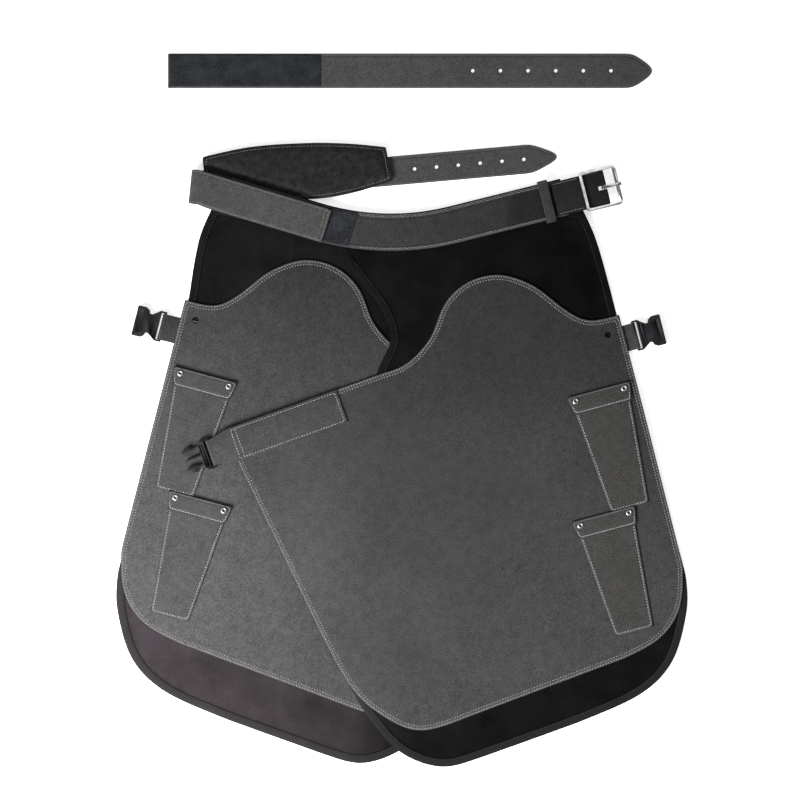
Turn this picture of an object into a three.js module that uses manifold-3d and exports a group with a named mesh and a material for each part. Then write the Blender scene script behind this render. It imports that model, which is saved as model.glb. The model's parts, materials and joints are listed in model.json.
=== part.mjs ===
// Split-leg work apron, laid flat with its face up: a waist belt with a centre-bar buckle, a back strap
// with a lumbar pad, two overlapping legs, and a loose extension strap. Millimetres, +Z up out of the face.
import * as THREE from "three";
import { mergeVertices } from "three/addons/utils/BufferGeometryUtils.js";
import Module from "manifold-3d";

const wasm = await Module();
wasm.setup();

// ---- Clearances and sheet thicknesses ----
const GAP = 0.3; // between two pieces that touch
const LINING_T = 0.9;
const LEATHER_T = 2.0;
const POUCH_T = 1.4;
const STRAP_T = 2.0;
const BACKING_T = 1.0;
const PATCH_T = 1.1;
const TAB_T = 1.2; // each ply of a strap that loops round a buckle bar

// ---- Waist belt ----
const BELT_WIDTH = 40;
const BELT_CURVE_R = 283; // centreline radius of the curved middle
const BELT_CENTRE_X = -10;
const BELT_LOW_Y = 194.3; // lowest point of the centreline
const BELT_LEFT_ANGLE = 16.7; // degrees, rise of each straight end
const BELT_RIGHT_ANGLE = 14;
const BELT_LEFT_STRAIGHT = 127;
const BELT_RIGHT_STRAIGHT = 126;
const BACKING_PROUD = 1.2; // backing that shows above the leather
const LOOP_PATCH_LENGTH = 166;
const CHAPE_LAP = 12; // turned-over leather that lies on the belt
const CHAPE_REACH = 44; // end of the belt leather to the buckle's centre bar
const CHAPE_PLY_T = 1.6; // each ply of the belt's turned-over end
const KEEPER_WIDTH = 11;
const KEEPER_T = 1.8;
const KEEPER_ROOM = 3.4; // height left for the billet under the keeper
const KEEPER_SET_BACK = 3.2; // keeper's near side to the start of the chape's lap

// ---- Waist buckle ----
const BUCKLE_WIDTH = 44.5;
const BUCKLE_LENGTH = 43;
const BUCKLE_WIRE_R = 1.6;
const BUCKLE_CORNER_R = 5;
const BUCKLE_BAR_R = 1.3;
const BUCKLE_BAR_FROM_FRONT = 16; // centre bar to the front bar's centre
const BUCKLE_CLEARANCE = 0.45; // heel bar above the leather that it lies on
const ROLLER_T = 0.8;
const PRONG_WIDTH = 3.4;
const PRONG_T = 1.8;
const PRONG_EYE_T = 1.3;
const PRONG_OVERHANG = 1; // its tip past the roller

// ---- Back strap, pad and billet ----
const BACK_STRAP_WIDTH = 38;
const BACK_FOLD = [-222.6, 243.8];
const BACK_ANGLE = 5.05;
const FRONT_RUN_LENGTH = 149;
const REAR_RUN_LENGTH = 153;
const HOOK_PATCH_LENGTH = 143;
const PAD_T = 10.5;
const BILLET_START = 171; // from the fold, along the back strap
const BILLET_TIP = 399;
const BILLET_WIDTH = 32;
const BILLET_POINT = 30;
const BILLET_HOLES = 6;
const BILLET_HOLE_PITCH = 24.1;
const BILLET_HOLE_FROM_TIP = 39;

// ---- Extension strap ----
const EXTENSION_Y = 372.9;
const EXTENSION_START = -255.2;
const EXTENSION_LENGTH = 534.1;
const EXTENSION_POINT = 23;
const EXTENSION_PATCH = 166.5;
const EXTENSION_HOLES = 6;
const EXTENSION_HOLE_PITCH = 30.4;
const EXTENSION_HOLE_FROM_TIP = 47;
const STRAP_HOLE_R = 2;

// ---- Legs ----
const LEG_HINGE_Y = 165; // where the lining bends under the belt
const LEFT_LEATHER_SHIFT = [4.3, 16.5]; // the left leg is the right one mirrored and moved
const LEFT_CLIP_SHIFT = [-2.3, 9.9]; // the left outer clip sits lower and further out than its twin
const LEFT_LINING_SHIFT = [4, 4];
const CORNER_HOLE = [228.8, 82.8];
const CORNER_HOLE_R = 3.6;
const POUCH_TILT = 15;
const POUCH_TOPS = [[217.3, 22.5], [222.7, -113.8]];
const POUCH_HEIGHT = 134;
const POUCH_TOP_WIDTH = 64;
const POUCH_FOOT_WIDTH = 43;
const POUCH_BAND_WIDTH = 72;
const POUCH_BAND_HEIGHT = 20;
const POUCH_DROP = 12; // the pouch's own mouth below the top of its band
const RIVET_HEAD_R = 3.9;
const RIVET_SHANK_R = 1.5;
const RIVET_BORE_R = 1.0;
const RIVET_HEAD_T = 1.2;
const RIVET_INSET = [8.5, 6]; // from the band's side and from its top

// ---- Side-release buckles and their straps ----
const WEB_WIDTH = 29;
const CLIP_WIDTH = 33.7;
const CLIP_T = 5.4;
const CLIP_BAR_R = 1.2;
const CLIP_SEAT = 0.05; // a looped strap's underside above the right lining's
const CLIP_SLOT = 4.6; // strap room between a clip's bar and its body
const RECEPTACLE_LENGTH = 31; // bar centre to mouth
const RECEPTACLE_T = 7.2;
const RECEPTACLE_WAIST = 21;
const RECEPTACLE_MOUTH = [25, 13, 4.4]; // width, depth, height of the pocket
const INSERT_BODY_END = 12;
const INSERT_LENGTH = 32; // bar centre to the arms' tips
const INSERT_ARMS_WIDTH = 25;
const ARM_WIDTH = 4;
const BARB = 2.2; // how far an arm's catch stands out
const TONGUE_ANGLE = 19.7; // the leg's inner tongue
const TONGUE_STRAP_WIDTH = 38;
const TONGUE_STRAP_LENGTH = 152; // its sewn end to the buckle bar
const TONGUE_STRAP_TAPER = 20;
const TONGUE_STRAP_END = [-63.5, 4.5];
const OUTER_TAB_AT = [247.4, 78.5]; // on the leg leather's outer edge
const OUTER_TAB_ANGLE = 14.3;
const OUTER_TAB_OUT = 11.5; // leather edge to the clip's bar
const OUTER_TAB_IN = 24;

// ---- Heights, each level resting on the one below ----
const LEFT_LINING_Z = 0;
const LEFT_LEATHER_Z = LEFT_LINING_Z + LINING_T + GAP;
const LEFT_TOP_Z = LEFT_LEATHER_Z + LEATHER_T;
const RIGHT_LINING_Z = LEFT_TOP_Z + STRAP_T + 2 * GAP;
const RIGHT_LEATHER_Z = RIGHT_LINING_Z + LINING_T + GAP;
const BACKING_Z = RIGHT_LINING_Z + LINING_T + GAP;
const BELT_Z = BACKING_Z + BACKING_T + GAP;
const BELT_TOP_Z = BELT_Z + LEATHER_T;
const LOOP_Z = BELT_TOP_Z + GAP;
const HOOK_Z = LOOP_Z + PATCH_T + GAP;
const FRONT_RUN_Z = HOOK_Z + PATCH_T + GAP;
const CUT_DEPTH = 60; // how far a cutting prism reaches past a sheet

const radians = THREE.MathUtils.degToRad;

// ---- Finishes ----
const FINISHES = {
  grey_leather: [0x4a4a4a, 0.75, 0],
  black_leather: [0x262627, 0.7, 0],
  suede: [0x353636, 0.95, 0],
  cloth: [0x1d1c1e, 0.95, 0],
  hook_loop: [0x16181d, 0.95, 0],
  plastic: [0x232327, 0.5, 0],
  steel: [0xb9b7b4, 0.25, 1],
};

function finish(name) {
  const [color, roughness, metalness] = FINISHES[name];
  return new THREE.MeshStandardMaterial({ color, roughness, metalness });
}

const group = new THREE.Group();

function addPiece(name, geometry, material) {
  const mesh = new THREE.Mesh(geometry, finish(material));
  mesh.name = name;
  group.add(mesh);
  return mesh;
}

// ---- Solids: joining and cutting ----
function toSolid(geometry) {
  const bare = geometry.clone();
  bare.deleteAttribute("normal");
  bare.deleteAttribute("uv");
  const merged = mergeVertices(bare, 1e-4);
  const vertProperties = merged.attributes.position.array;
  const triVerts = new Uint32Array(merged.index.array);
  return new wasm.Manifold(new wasm.Mesh({ numProp: 3, vertProperties, triVerts }));
}

function toGeometry(solid) {
  const { vertProperties, triVerts } = solid.getMesh();
  const geometry = new THREE.BufferGeometry();
  geometry.setAttribute("position", new THREE.BufferAttribute(new Float32Array(vertProperties), 3));
  geometry.setIndex(new THREE.BufferAttribute(new Uint32Array(triVerts), 1));
  const flat = geometry.toNonIndexed();
  flat.computeVertexNormals();
  return flat;
}

function cut(geometry, ...tools) {
  return toGeometry(tools.reduce((body, tool) => body.subtract(toSolid(tool)), toSolid(geometry)));
}

function join(geometry, ...others) {
  return toGeometry(others.reduce((body, other) => body.add(toSolid(other)), toSolid(geometry)));
}

function keepInside(geometry, tool) {
  return toGeometry(toSolid(geometry).intersect(toSolid(tool)));
}

// ---- Outlines ----
function shapeOf(points) {
  return new THREE.Shape(points.map(([x, y]) => new THREE.Vector2(x, y)));
}

function rectangle(length, width, x = 0, y = 0) {
  return shapeOf([[x, y - width / 2], [x + length, y - width / 2], [x + length, y + width / 2],
    [x, y + width / 2]]);
}

// Stretches of an outline: each is a smooth curve through its points, a two-point one being straight.
function outline(...stretches) {
  const shape = new THREE.Shape();
  const [startX, startY] = stretches[0][0];
  shape.moveTo(startX, startY);
  for (const stretch of stretches) {
    const points = stretch.slice(1).map(([x, y]) => new THREE.Vector2(x, y));
    if (points.length === 1) shape.lineTo(points[0].x, points[0].y);
    else shape.splineThru(points);
  }
  return shape;
}

// A sheet of one thickness with its underside at height z.
function sheet(shape, thickness, z, curveSegments = 4) {
  return new THREE.ExtrudeGeometry(shape, { depth: thickness, bevelEnabled: false, curveSegments })
    .translate(0, 0, z);
}

// A section drawn in (along, up), extruded to a width across and centred on it.
function crosswise(section, width, curveSegments = 10) {
  return new THREE.ExtrudeGeometry(section, { depth: width, bevelEnabled: false, curveSegments })
    .rotateX(Math.PI / 2).translate(0, width / 2, 0);
}

function place(geometry, [x, y], degrees) {
  return geometry.rotateZ(radians(degrees)).translate(x, y, 0);
}

function along([x, y], degrees, distance) {
  return [x + distance * Math.cos(radians(degrees)), y + distance * Math.sin(radians(degrees))];
}

function rod(radius, length, sides = 20) {
  return new THREE.CylinderGeometry(radius, radius, length, sides);
}

// The left leg's copy of a right-leg solid: mirrored side to side, with its faces turned back outwards.
function mirrored(geometry, [shiftX, shiftY], drop) {
  const copy = geometry.index ? geometry.toNonIndexed() : geometry.clone();
  copy.scale(-1, 1, 1);
  const positions = copy.attributes.position.array;
  for (let start = 0; start < positions.length; start += 9) {
    for (let axis = 0; axis < 3; axis += 1) {
      const held = positions[start + 3 + axis];
      positions[start + 3 + axis] = positions[start + 6 + axis];
      positions[start + 6 + axis] = held;
    }
  }
  copy.computeVertexNormals();
  return copy.translate(shiftX, shiftY, -drop);
}

// ---- Waist belt ----
const beltArcLeft = along([BELT_CENTRE_X, BELT_LOW_Y + BELT_CURVE_R], -90 - BELT_LEFT_ANGLE, BELT_CURVE_R);
const beltArcRight = along([BELT_CENTRE_X, BELT_LOW_Y + BELT_CURVE_R], -90 + BELT_RIGHT_ANGLE, BELT_CURVE_R);
const beltLeftEnd = along(beltArcLeft, 180 - BELT_LEFT_ANGLE, BELT_LEFT_STRAIGHT);
const beltRightEnd = along(beltArcRight, BELT_RIGHT_ANGLE, BELT_RIGHT_STRAIGHT);

// The belt's outline between two offsets from its centreline, carried past its left end by a reach.
function beltShape(lower, upper, reach = 0) {
  const side = (end, degrees, offset) => along(end, degrees + 90, offset);
  const leftEnd = along(beltLeftEnd, 180 - BELT_LEFT_ANGLE, reach);
  const shape = new THREE.Shape();
  const centreY = BELT_LOW_Y + BELT_CURVE_R;
  const leftTurn = radians(-90 - BELT_LEFT_ANGLE);
  const rightTurn = radians(-90 + BELT_RIGHT_ANGLE);
  shape.moveTo(...side(leftEnd, -BELT_LEFT_ANGLE, lower));
  shape.absarc(BELT_CENTRE_X, centreY, BELT_CURVE_R - lower, leftTurn, rightTurn, false);
  shape.lineTo(...side(beltRightEnd, BELT_RIGHT_ANGLE, lower));
  shape.lineTo(...side(beltRightEnd, BELT_RIGHT_ANGLE, upper));
  shape.absarc(BELT_CENTRE_X, centreY, BELT_CURVE_R - upper, rightTurn, leftTurn, true);
  shape.lineTo(...side(leftEnd, -BELT_LEFT_ANGLE, upper));
  return shape;
}

function onBelt(geometry, fromRightEnd) {
  return place(geometry, along(beltRightEnd, BELT_RIGHT_ANGLE, fromRightEnd), BELT_RIGHT_ANGLE);
}

const CHAPE_INNER_R = BUCKLE_BAR_R + GAP;
const CHAPE_OUTER_R = CHAPE_INNER_R + CHAPE_PLY_T;
const BAR_Z = BACKING_Z + CHAPE_OUTER_R;
const CHAPE_TOP_Z = BAR_Z + CHAPE_OUTER_R;

// The belt's end turned over the buckle's centre bar, with a slot for the prong.
function chape() {
  const section = new THREE.Shape();
  section.moveTo(GAP - CHAPE_REACH, BAR_Z - CHAPE_OUTER_R);
  section.lineTo(0, BAR_Z - CHAPE_OUTER_R);
  section.absarc(0, BAR_Z, CHAPE_OUTER_R, -Math.PI / 2, Math.PI / 2, false);
  section.lineTo(-CHAPE_REACH - CHAPE_LAP, CHAPE_TOP_Z);
  section.lineTo(-CHAPE_REACH - CHAPE_LAP, CHAPE_TOP_Z - CHAPE_PLY_T);
  section.lineTo(0, CHAPE_TOP_Z - CHAPE_PLY_T);
  section.absarc(0, BAR_Z, CHAPE_INNER_R, Math.PI / 2, -Math.PI / 2, true);
  section.lineTo(GAP - CHAPE_REACH, BAR_Z - CHAPE_INNER_R);
  const width = BUCKLE_WIDTH - 4 * BUCKLE_WIRE_R - 2 * GAP;
  const slotWidth = PRONG_WIDTH + 4 * GAP;
  const slot = sheet(rectangle(4 * CHAPE_OUTER_R, slotWidth, -2 * CHAPE_OUTER_R), CUT_DEPTH, 0);
  return onBelt(cut(crosswise(section, width, 8), slot), CHAPE_REACH);
}

// A band of leather over the belt, its ends sewn down beside the belt's edges, with room for a strap.
function keeper() {
  const foot = BACKING_Z;
  const high = BELT_TOP_Z + KEEPER_ROOM;
  const half = BELT_WIDTH / 2 + BACKING_PROUD + GAP;
  const arch = shapeOf([[-half - KEEPER_T, foot], [-half, foot], [-half, high], [half, high], [half, foot],
    [half + KEEPER_T, foot], [half + KEEPER_T, high + KEEPER_T], [-half - KEEPER_T, high + KEEPER_T]]);
  const band = crosswise(arch, KEEPER_WIDTH).rotateZ(Math.PI / 2);
  return onBelt(band, -CHAPE_LAP - KEEPER_SET_BACK - KEEPER_WIDTH / 2);
}

addPiece("belt_backing", sheet(beltShape(-BELT_WIDTH / 2, BELT_WIDTH / 2 + BACKING_PROUD), BACKING_T,
  BACKING_Z, 12), "cloth");
addPiece("belt_leather", sheet(beltShape(-BELT_WIDTH / 2, BELT_WIDTH / 2), LEATHER_T, BELT_Z, 12),
  "grey_leather");
addPiece("buckle_chape", chape(), "black_leather");
addPiece("belt_keeper", keeper(), "grey_leather");

// ---- Waist buckle: drawn flat about its centre bar, then tilted so that its heel clears the chape ----
const HEEL_X = BUCKLE_BAR_FROM_FRONT + 2 * BUCKLE_WIRE_R - BUCKLE_LENGTH; // centre of the heel bar
const BUCKLE_LIFT = CHAPE_OUTER_R + BUCKLE_CLEARANCE + BUCKLE_WIRE_R;
const BUCKLE_TILT = THREE.MathUtils.radToDeg(Math.asin(BUCKLE_LIFT / -HEEL_X));

function atBuckle(geometry) {
  return onBelt(geometry.rotateY(radians(BUCKLE_TILT)).translate(0, 0, BAR_Z), CHAPE_REACH);
}

function roundedRectangle(left, right, half, radius) {
  const shape = new THREE.Shape();
  shape.moveTo(left + radius, -half);
  shape.absarc(right - radius, radius - half, radius, -Math.PI / 2, 0, false);
  shape.absarc(right - radius, half - radius, radius, 0, Math.PI / 2, false);
  shape.absarc(left + radius, half - radius, radius, Math.PI / 2, Math.PI, false);
  shape.absarc(left + radius, radius - half, radius, Math.PI, 1.5 * Math.PI, false);
  return shape;
}

// A ring of wire with a centre bar, and a thinner front bar that holds the roller.
function buckleFrame() {
  const halfWidth = BUCKLE_WIDTH / 2;
  const left = HEEL_X - BUCKLE_WIRE_R;
  const right = BUCKLE_BAR_FROM_FRONT + BUCKLE_WIRE_R;
  const wire = 2 * BUCKLE_WIRE_R;
  const ring = roundedRectangle(left, right, halfWidth, BUCKLE_CORNER_R);
  ring.holes.push(roundedRectangle(left + wire, right - wire, halfWidth - wire, BUCKLE_CORNER_R - wire));
  const plate = sheet(ring, wire, -BUCKLE_WIRE_R, 5);
  const frontGap = rollerLength() + 2 * GAP;
  const opened = cut(plate, sheet(rectangle(3 * wire, frontGap, right - 1.5 * wire), CUT_DEPTH,
    -CUT_DEPTH / 2));
  const barLength = 2 * halfWidth - wire;
  const frontBar = rod(BUCKLE_BAR_R, barLength, 16).translate(BUCKLE_BAR_FROM_FRONT, 0, 0);
  return atBuckle(join(opened, rod(BUCKLE_BAR_R, barLength, 16), frontBar));
}

function rollerLength() {
  return BUCKLE_WIDTH - 4 * BUCKLE_WIRE_R - 2;
}

function ring(outer, inner, length, segments = 20) {
  const section = new THREE.Shape().absarc(0, 0, outer, 0, 2 * Math.PI, false);
  section.holes.push(new THREE.Path().absarc(0, 0, inner, 0, 2 * Math.PI, true));
  return crosswise(section, length, segments);
}

const ROLLER_R = BUCKLE_BAR_R + GAP + ROLLER_T;

function roller() {
  const sleeve = ring(ROLLER_R, BUCKLE_BAR_R + GAP, rollerLength(), 10);
  return atBuckle(sleeve.translate(BUCKLE_BAR_FROM_FRONT, 0, 0));
}

// The tongue: an eye round the centre bar and a tapered bar that lies on the roller.
function prong() {
  const eyeInner = BUCKLE_BAR_R + GAP;
  const eyeOuter = eyeInner + PRONG_EYE_T;
  const low = ROLLER_R + GAP;
  const tip = BUCKLE_BAR_FROM_FRONT + ROLLER_R + PRONG_OVERHANG;
  const bar = shapeOf([[0, eyeInner + GAP], [tip * 0.6, low], [tip, low], [tip, low + PRONG_T * 0.5],
    [tip - 1.5, low + PRONG_T], [tip * 0.5, low + PRONG_T], [0, eyeOuter]]);
  return atBuckle(join(ring(eyeOuter, eyeInner, PRONG_WIDTH, 10), crosswise(bar, PRONG_WIDTH)));
}

addPiece("waist_buckle_frame", buckleFrame(), "steel");
addPiece("waist_buckle_roller", roller(), "steel");
addPiece("waist_buckle_prong", prong(), "steel");

// ---- Back strap: a rear run on the table and a front run folded over onto the belt ----
const FOLD_AXIS = (180 + BACK_ANGLE - BELT_LEFT_ANGLE) / 2; // the crease halves the turn between the runs
const STACK_TOP = FRONT_RUN_Z + STRAP_T;
const FOLD_R = STACK_TOP / 2;

function onFold(geometry, degrees) {
  return place(geometry, BACK_FOLD, degrees);
}

// One run with its quarter of the bend: the strap's section drawn along the crease, cut to its outline.
function foldedRun(degrees, length, upper) {
  const side = upper ? 1 : -1;
  const quarter = [side * Math.PI / 2, side * Math.PI];
  const section = new THREE.Shape();
  section.moveTo(length * 2, side * FOLD_R);
  section.lineTo(0, side * FOLD_R);
  section.absarc(0, 0, FOLD_R, ...quarter, !upper);
  section.absarc(0, 0, FOLD_R - STRAP_T, quarter[1], quarter[0], upper);
  section.lineTo(length * 2, side * (FOLD_R - STRAP_T));
  section.closePath();
  const block = new THREE.BoxGeometry(CUT_DEPTH * 10, CUT_DEPTH * 4, CUT_DEPTH)
    .translate(0, 0, side * (CUT_DEPTH / 2 + GAP / 2));
  const drawn = keepInside(crosswise(section, length * 2, 8), block).translate(0, 0, FOLD_R);
  const lean = radians(degrees - FOLD_AXIS + 90);
  const half = BACK_STRAP_WIDTH / 2;
  const creaseHalf = half / Math.cos(lean);
  const farEnd = [-half, half].map((y) => [length * Math.cos(lean) - y * Math.sin(lean),
    length * Math.sin(lean) + y * Math.cos(lean)]);
  const corners = [[-2 * FOLD_R, -creaseHalf], [0, -creaseHalf], ...farEnd, [0, creaseHalf],
    [-2 * FOLD_R, creaseHalf]];
  const edges = corners.map((corner, index) => [corner, corners[(index + 1) % corners.length]]);
  const footprint = sheet(outline(...edges), CUT_DEPTH, -CUT_DEPTH / 2);
  return onFold(keepInside(drawn, footprint), FOLD_AXIS - 90);
}

addPiece("back_strap_front_run", foldedRun(-BELT_LEFT_ANGLE, FRONT_RUN_LENGTH, true), "grey_leather");
addPiece("back_strap_rear_run", foldedRun(BACK_ANGLE, REAR_RUN_LENGTH, false), "grey_leather");

const PATCH_INSET = 1.5;
const hookPatchStart = FRONT_RUN_LENGTH - HOOK_PATCH_LENGTH - PATCH_INSET;
addPiece("front_run_hook_patch", onFold(sheet(rectangle(HOOK_PATCH_LENGTH, BACK_STRAP_WIDTH
  - 2 * PATCH_INSET, hookPatchStart), PATCH_T, HOOK_Z), -BELT_LEFT_ANGLE), "hook_loop");

// The loop patch covers the belt's left straight and the start of its curve.
function loopPatch() {
  const shape = beltShape(PATCH_INSET - BELT_WIDTH / 2, BELT_WIDTH / 2 - PATCH_INSET);
  const window = sheet(rectangle(LOOP_PATCH_LENGTH, 4 * BELT_WIDTH, PATCH_INSET), CUT_DEPTH, 0);
  return keepInside(sheet(shape, PATCH_T, LOOP_Z, 12), place(window, beltLeftEnd, -BELT_LEFT_ANGLE));
}

addPiece("belt_loop_patch", loopPatch(), "hook_loop");

const padShape = outline(
  [[-216.7, 277.6], [-165, 288.5], [-107.3, 292.8], [-60, 292.5], [-15.5, 288.5]],
  [[-15.5, 288.5], [-7.9, 251.2]],
  [[-7.9, 251.2], [-55, 237.5], [-99, 231.3], [-160, 233.5], [-213.5, 240]],
  [[-213.5, 240], [-216.7, 277.6]],
);

// The pad is pressed thin where the belt lies over it, and stands full above the belt's top edge.
function pad() {
  const top = BELT_WIDTH / 2 + BACKING_PROUD + 1;
  const cover = sheet(beltShape(-BELT_WIDTH, top, BELT_WIDTH), CUT_DEPTH, BACKING_Z - GAP, 12);
  const under = onFold(sheet(rectangle(FRONT_RUN_LENGTH + 2, BACK_STRAP_WIDTH + 4, -GAP), CUT_DEPTH,
    HOOK_Z - GAP), -BELT_LEFT_ANGLE);
  return cut(sheet(padShape, PAD_T, STRAP_T + GAP, 5), cover, under);
}

addPiece("lumbar_pad", pad(), "suede");

function pointedStrap(start, tip, width, point) {
  return outline([[start, -width / 2], [tip - point, -width / 2]],
    [[tip - point, -width / 2], [tip - point * 0.25, -width * 0.19], [tip, 0], [tip - point * 0.25,
      width * 0.19], [tip - point, width / 2]],
    [[tip - point, width / 2], [start, width / 2]], [[start, width / 2], [start, -width / 2]]);
}

function punch(shape, count, firstX, pitch) {
  for (let index = 0; index < count; index += 1) {
    const hole = new THREE.Path().absarc(firstX - index * pitch, 0, STRAP_HOLE_R, 0, 2 * Math.PI, true);
    shape.holes.push(hole);
  }
  return shape;
}

const billet = punch(pointedStrap(BILLET_START, BILLET_TIP, BILLET_WIDTH, BILLET_POINT), BILLET_HOLES,
  BILLET_TIP - BILLET_HOLE_FROM_TIP, BILLET_HOLE_PITCH);
addPiece("billet_strap", onFold(sheet(billet, STRAP_T, 0), BACK_ANGLE), "grey_leather");

// ---- Extension strap, loose above the apron ----
const extension = punch(pointedStrap(0, EXTENSION_LENGTH, BACK_STRAP_WIDTH, EXTENSION_POINT),
  EXTENSION_HOLES, EXTENSION_LENGTH - EXTENSION_HOLE_FROM_TIP, EXTENSION_HOLE_PITCH);
addPiece("extension_strap", sheet(extension, STRAP_T, 0).translate(EXTENSION_START, EXTENSION_Y, 0),
  "grey_leather");
addPiece("extension_hook_patch", sheet(rectangle(EXTENSION_PATCH, BACK_STRAP_WIDTH - 2 * PATCH_INSET,
  PATCH_INSET), PATCH_T, STRAP_T + GAP).translate(EXTENSION_START, EXTENSION_Y, 0), "hook_loop");

// ---- Legs: the right leg is drawn, and the left one is its mirror image one level lower ----
const SEAM_TUCK = 17; // the lining's top edge below the belt's centreline

function beltCentreY(x) {
  const [arcX, arcY] = beltArcRight;
  if (x > arcX) return arcY + (x - arcX) * Math.tan(radians(BELT_RIGHT_ANGLE));
  const across = x - BELT_CENTRE_X;
  return BELT_LOW_Y + BELT_CURVE_R - Math.sqrt(BELT_CURVE_R ** 2 - across ** 2);
}

function liningShape() {
  const top = [-72, -35, 0, 60, 130, 200].map((x) => [x, beltCentreY(x) - SEAM_TUCK]);
  return outline(
    [top[5], [217, 182], [238.4, 104.6]],
    [[238.4, 104.6], [314.6, -182.6]],
    [[314.6, -182.6], [315.4, -221], [299, -277], [262, -314], [193.5, -344.6]],
    [[193.5, -344.6], [90.2, -381.7]],
    [[90.2, -381.7], [46, -392.5], [0, -376], [-35.4, -336.6], [-54.3, -305]],
    [[-54.3, -305], [-84, -240]], [[-84, -240], [-150, -100]], [[-150, -100], [-148, -22]],
    [[-148, -22], [-30, 28]], [[-30, 28], [-21, 52.4]],
    [[-21, 52.4], [-10, 78], [-20, 109], [-43.6, 142], [-63.8, 168], top[0]],
    top,
  );
}

function leatherShape() {
  const shape = outline(
    [[240.7, 104.6], [207, 98.5], [180, 111.5], [148, 136], [110.4, 148.8], [75, 141], [49, 117], [33, 79],
      [7, 51], [-22, 39.6]],
    [[-22, 39.6], [-194.9, -22.2]],
    [[-194.9, -22.2], [-176.8, -59.8]],
    [[-176.8, -59.8], [-88, -244]],
    [[-88, -244], [-56.4, -300.9], [-24.9, -332], [22.9, -352.4], [85.8, -333.3]],
    [[85.8, -333.3], [247.4, -272.8]],
    [[247.4, -272.8], [281, -254.8], [301.3, -232.3], [310.2, -205.4], [311, -171]],
    [[311, -171], [240.7, 104.6]],
  );
  shape.holes.push(new THREE.Path().absarc(...CORNER_HOLE, CORNER_HOLE_R, 0, 2 * Math.PI, true));
  return shape;
}

const POUCH_Z = RIGHT_LEATHER_Z + LEATHER_T + GAP;
const BAND_Z = POUCH_Z + POUCH_T + GAP;
const HEAD_Z = BAND_Z + POUCH_T + GAP;
const RIVET_SPOTS = [-1, 1].map((side) => [side * (POUCH_BAND_WIDTH / 2 - RIVET_INSET[0]), -RIVET_INSET[1]]);

function atPouch(geometry, index) {
  return place(geometry, POUCH_TOPS[index], POUCH_TILT);
}

// Clearance holes for the rivets' shanks, in a pouch's own frame.
function rivetDrills() {
  return RIVET_SPOTS.map(([x, y]) => rod(RIVET_SHANK_R + GAP, CUT_DEPTH, 12).rotateX(Math.PI / 2)
    .translate(x, y, 0));
}

function pouchPanel(index) {
  const shape = shapeOf([[-POUCH_FOOT_WIDTH / 2, -POUCH_HEIGHT], [POUCH_FOOT_WIDTH / 2, -POUCH_HEIGHT],
    [POUCH_TOP_WIDTH / 2, -POUCH_DROP], [-POUCH_TOP_WIDTH / 2, -POUCH_DROP]]);
  return atPouch(sheet(shape, POUCH_T, POUCH_Z), index);
}

function pouchBand(index) {
  const lean = (POUCH_BAND_WIDTH - POUCH_TOP_WIDTH) / 2;
  const half = POUCH_BAND_WIDTH / 2;
  const shape = shapeOf([[-half, 0], [lean - half, -POUCH_BAND_HEIGHT], [half - lean, -POUCH_BAND_HEIGHT],
    [half, 0]]);
  return atPouch(cut(sheet(shape, POUCH_T, BAND_Z), ...rivetDrills()), index);
}

// A hollow rivet: a domed head on the band and a shank down through the leather.
function rivet(index, spot) {
  const foot = RIGHT_LEATHER_Z + GAP;
  const profile = [[RIVET_BORE_R, foot], [RIVET_SHANK_R, foot], [RIVET_SHANK_R, HEAD_Z],
    [RIVET_HEAD_R, HEAD_Z], [RIVET_HEAD_R * 0.86, HEAD_Z + RIVET_HEAD_T * 0.7],
    [RIVET_HEAD_R * 0.55, HEAD_Z + RIVET_HEAD_T], [RIVET_BORE_R, HEAD_Z + RIVET_HEAD_T * 0.6],
    [RIVET_BORE_R, foot]].map(([r, z]) => new THREE.Vector2(r, z));
  const turned = new THREE.LatheGeometry(profile, 16).rotateX(Math.PI / 2);
  return atPouch(turned.translate(spot[0], spot[1], 0), index);
}

function legLeather() {
  const drills = [0, 1].flatMap((index) => rivetDrills().map((drill) => atPouch(drill, index)));
  return cut(sheet(leatherShape(), LEATHER_T, RIGHT_LEATHER_Z, 5), ...drills);
}

// ---- Side-release clips, drawn with the strap bar's centre at the origin and the mouth towards +X ----
const TAB_R = CLIP_BAR_R + GAP + TAB_T;
const RAIL_WIDTH = (CLIP_WIDTH - WEB_WIDTH) / 2 - GAP;
const CLIP_Z = RIGHT_LINING_Z + TAB_R + CLIP_SEAT;
const RECEPTACLE_Z = RECEPTACLE_T / 2; // on the table

function mirroredOutline(half) {
  const back = half.map(([x, y]) => [x, -y]).reverse();
  return shapeOf([...back, ...half]);
}

// The rails and bar that a strap loops round, for a clip of one thickness.
function ladder(thickness) {
  const railLength = CLIP_SLOT + CLIP_BAR_R + 1;
  const railY = (CLIP_WIDTH - RAIL_WIDTH) / 2;
  const rails = [-railY, railY].map((y) => sheet(rectangle(railLength, RAIL_WIDTH, -CLIP_BAR_R, y),
    thickness * 0.8, -thickness * 0.4));
  return [...rails, rod(CLIP_BAR_R, CLIP_WIDTH - RAIL_WIDTH, 12)];
}

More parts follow.
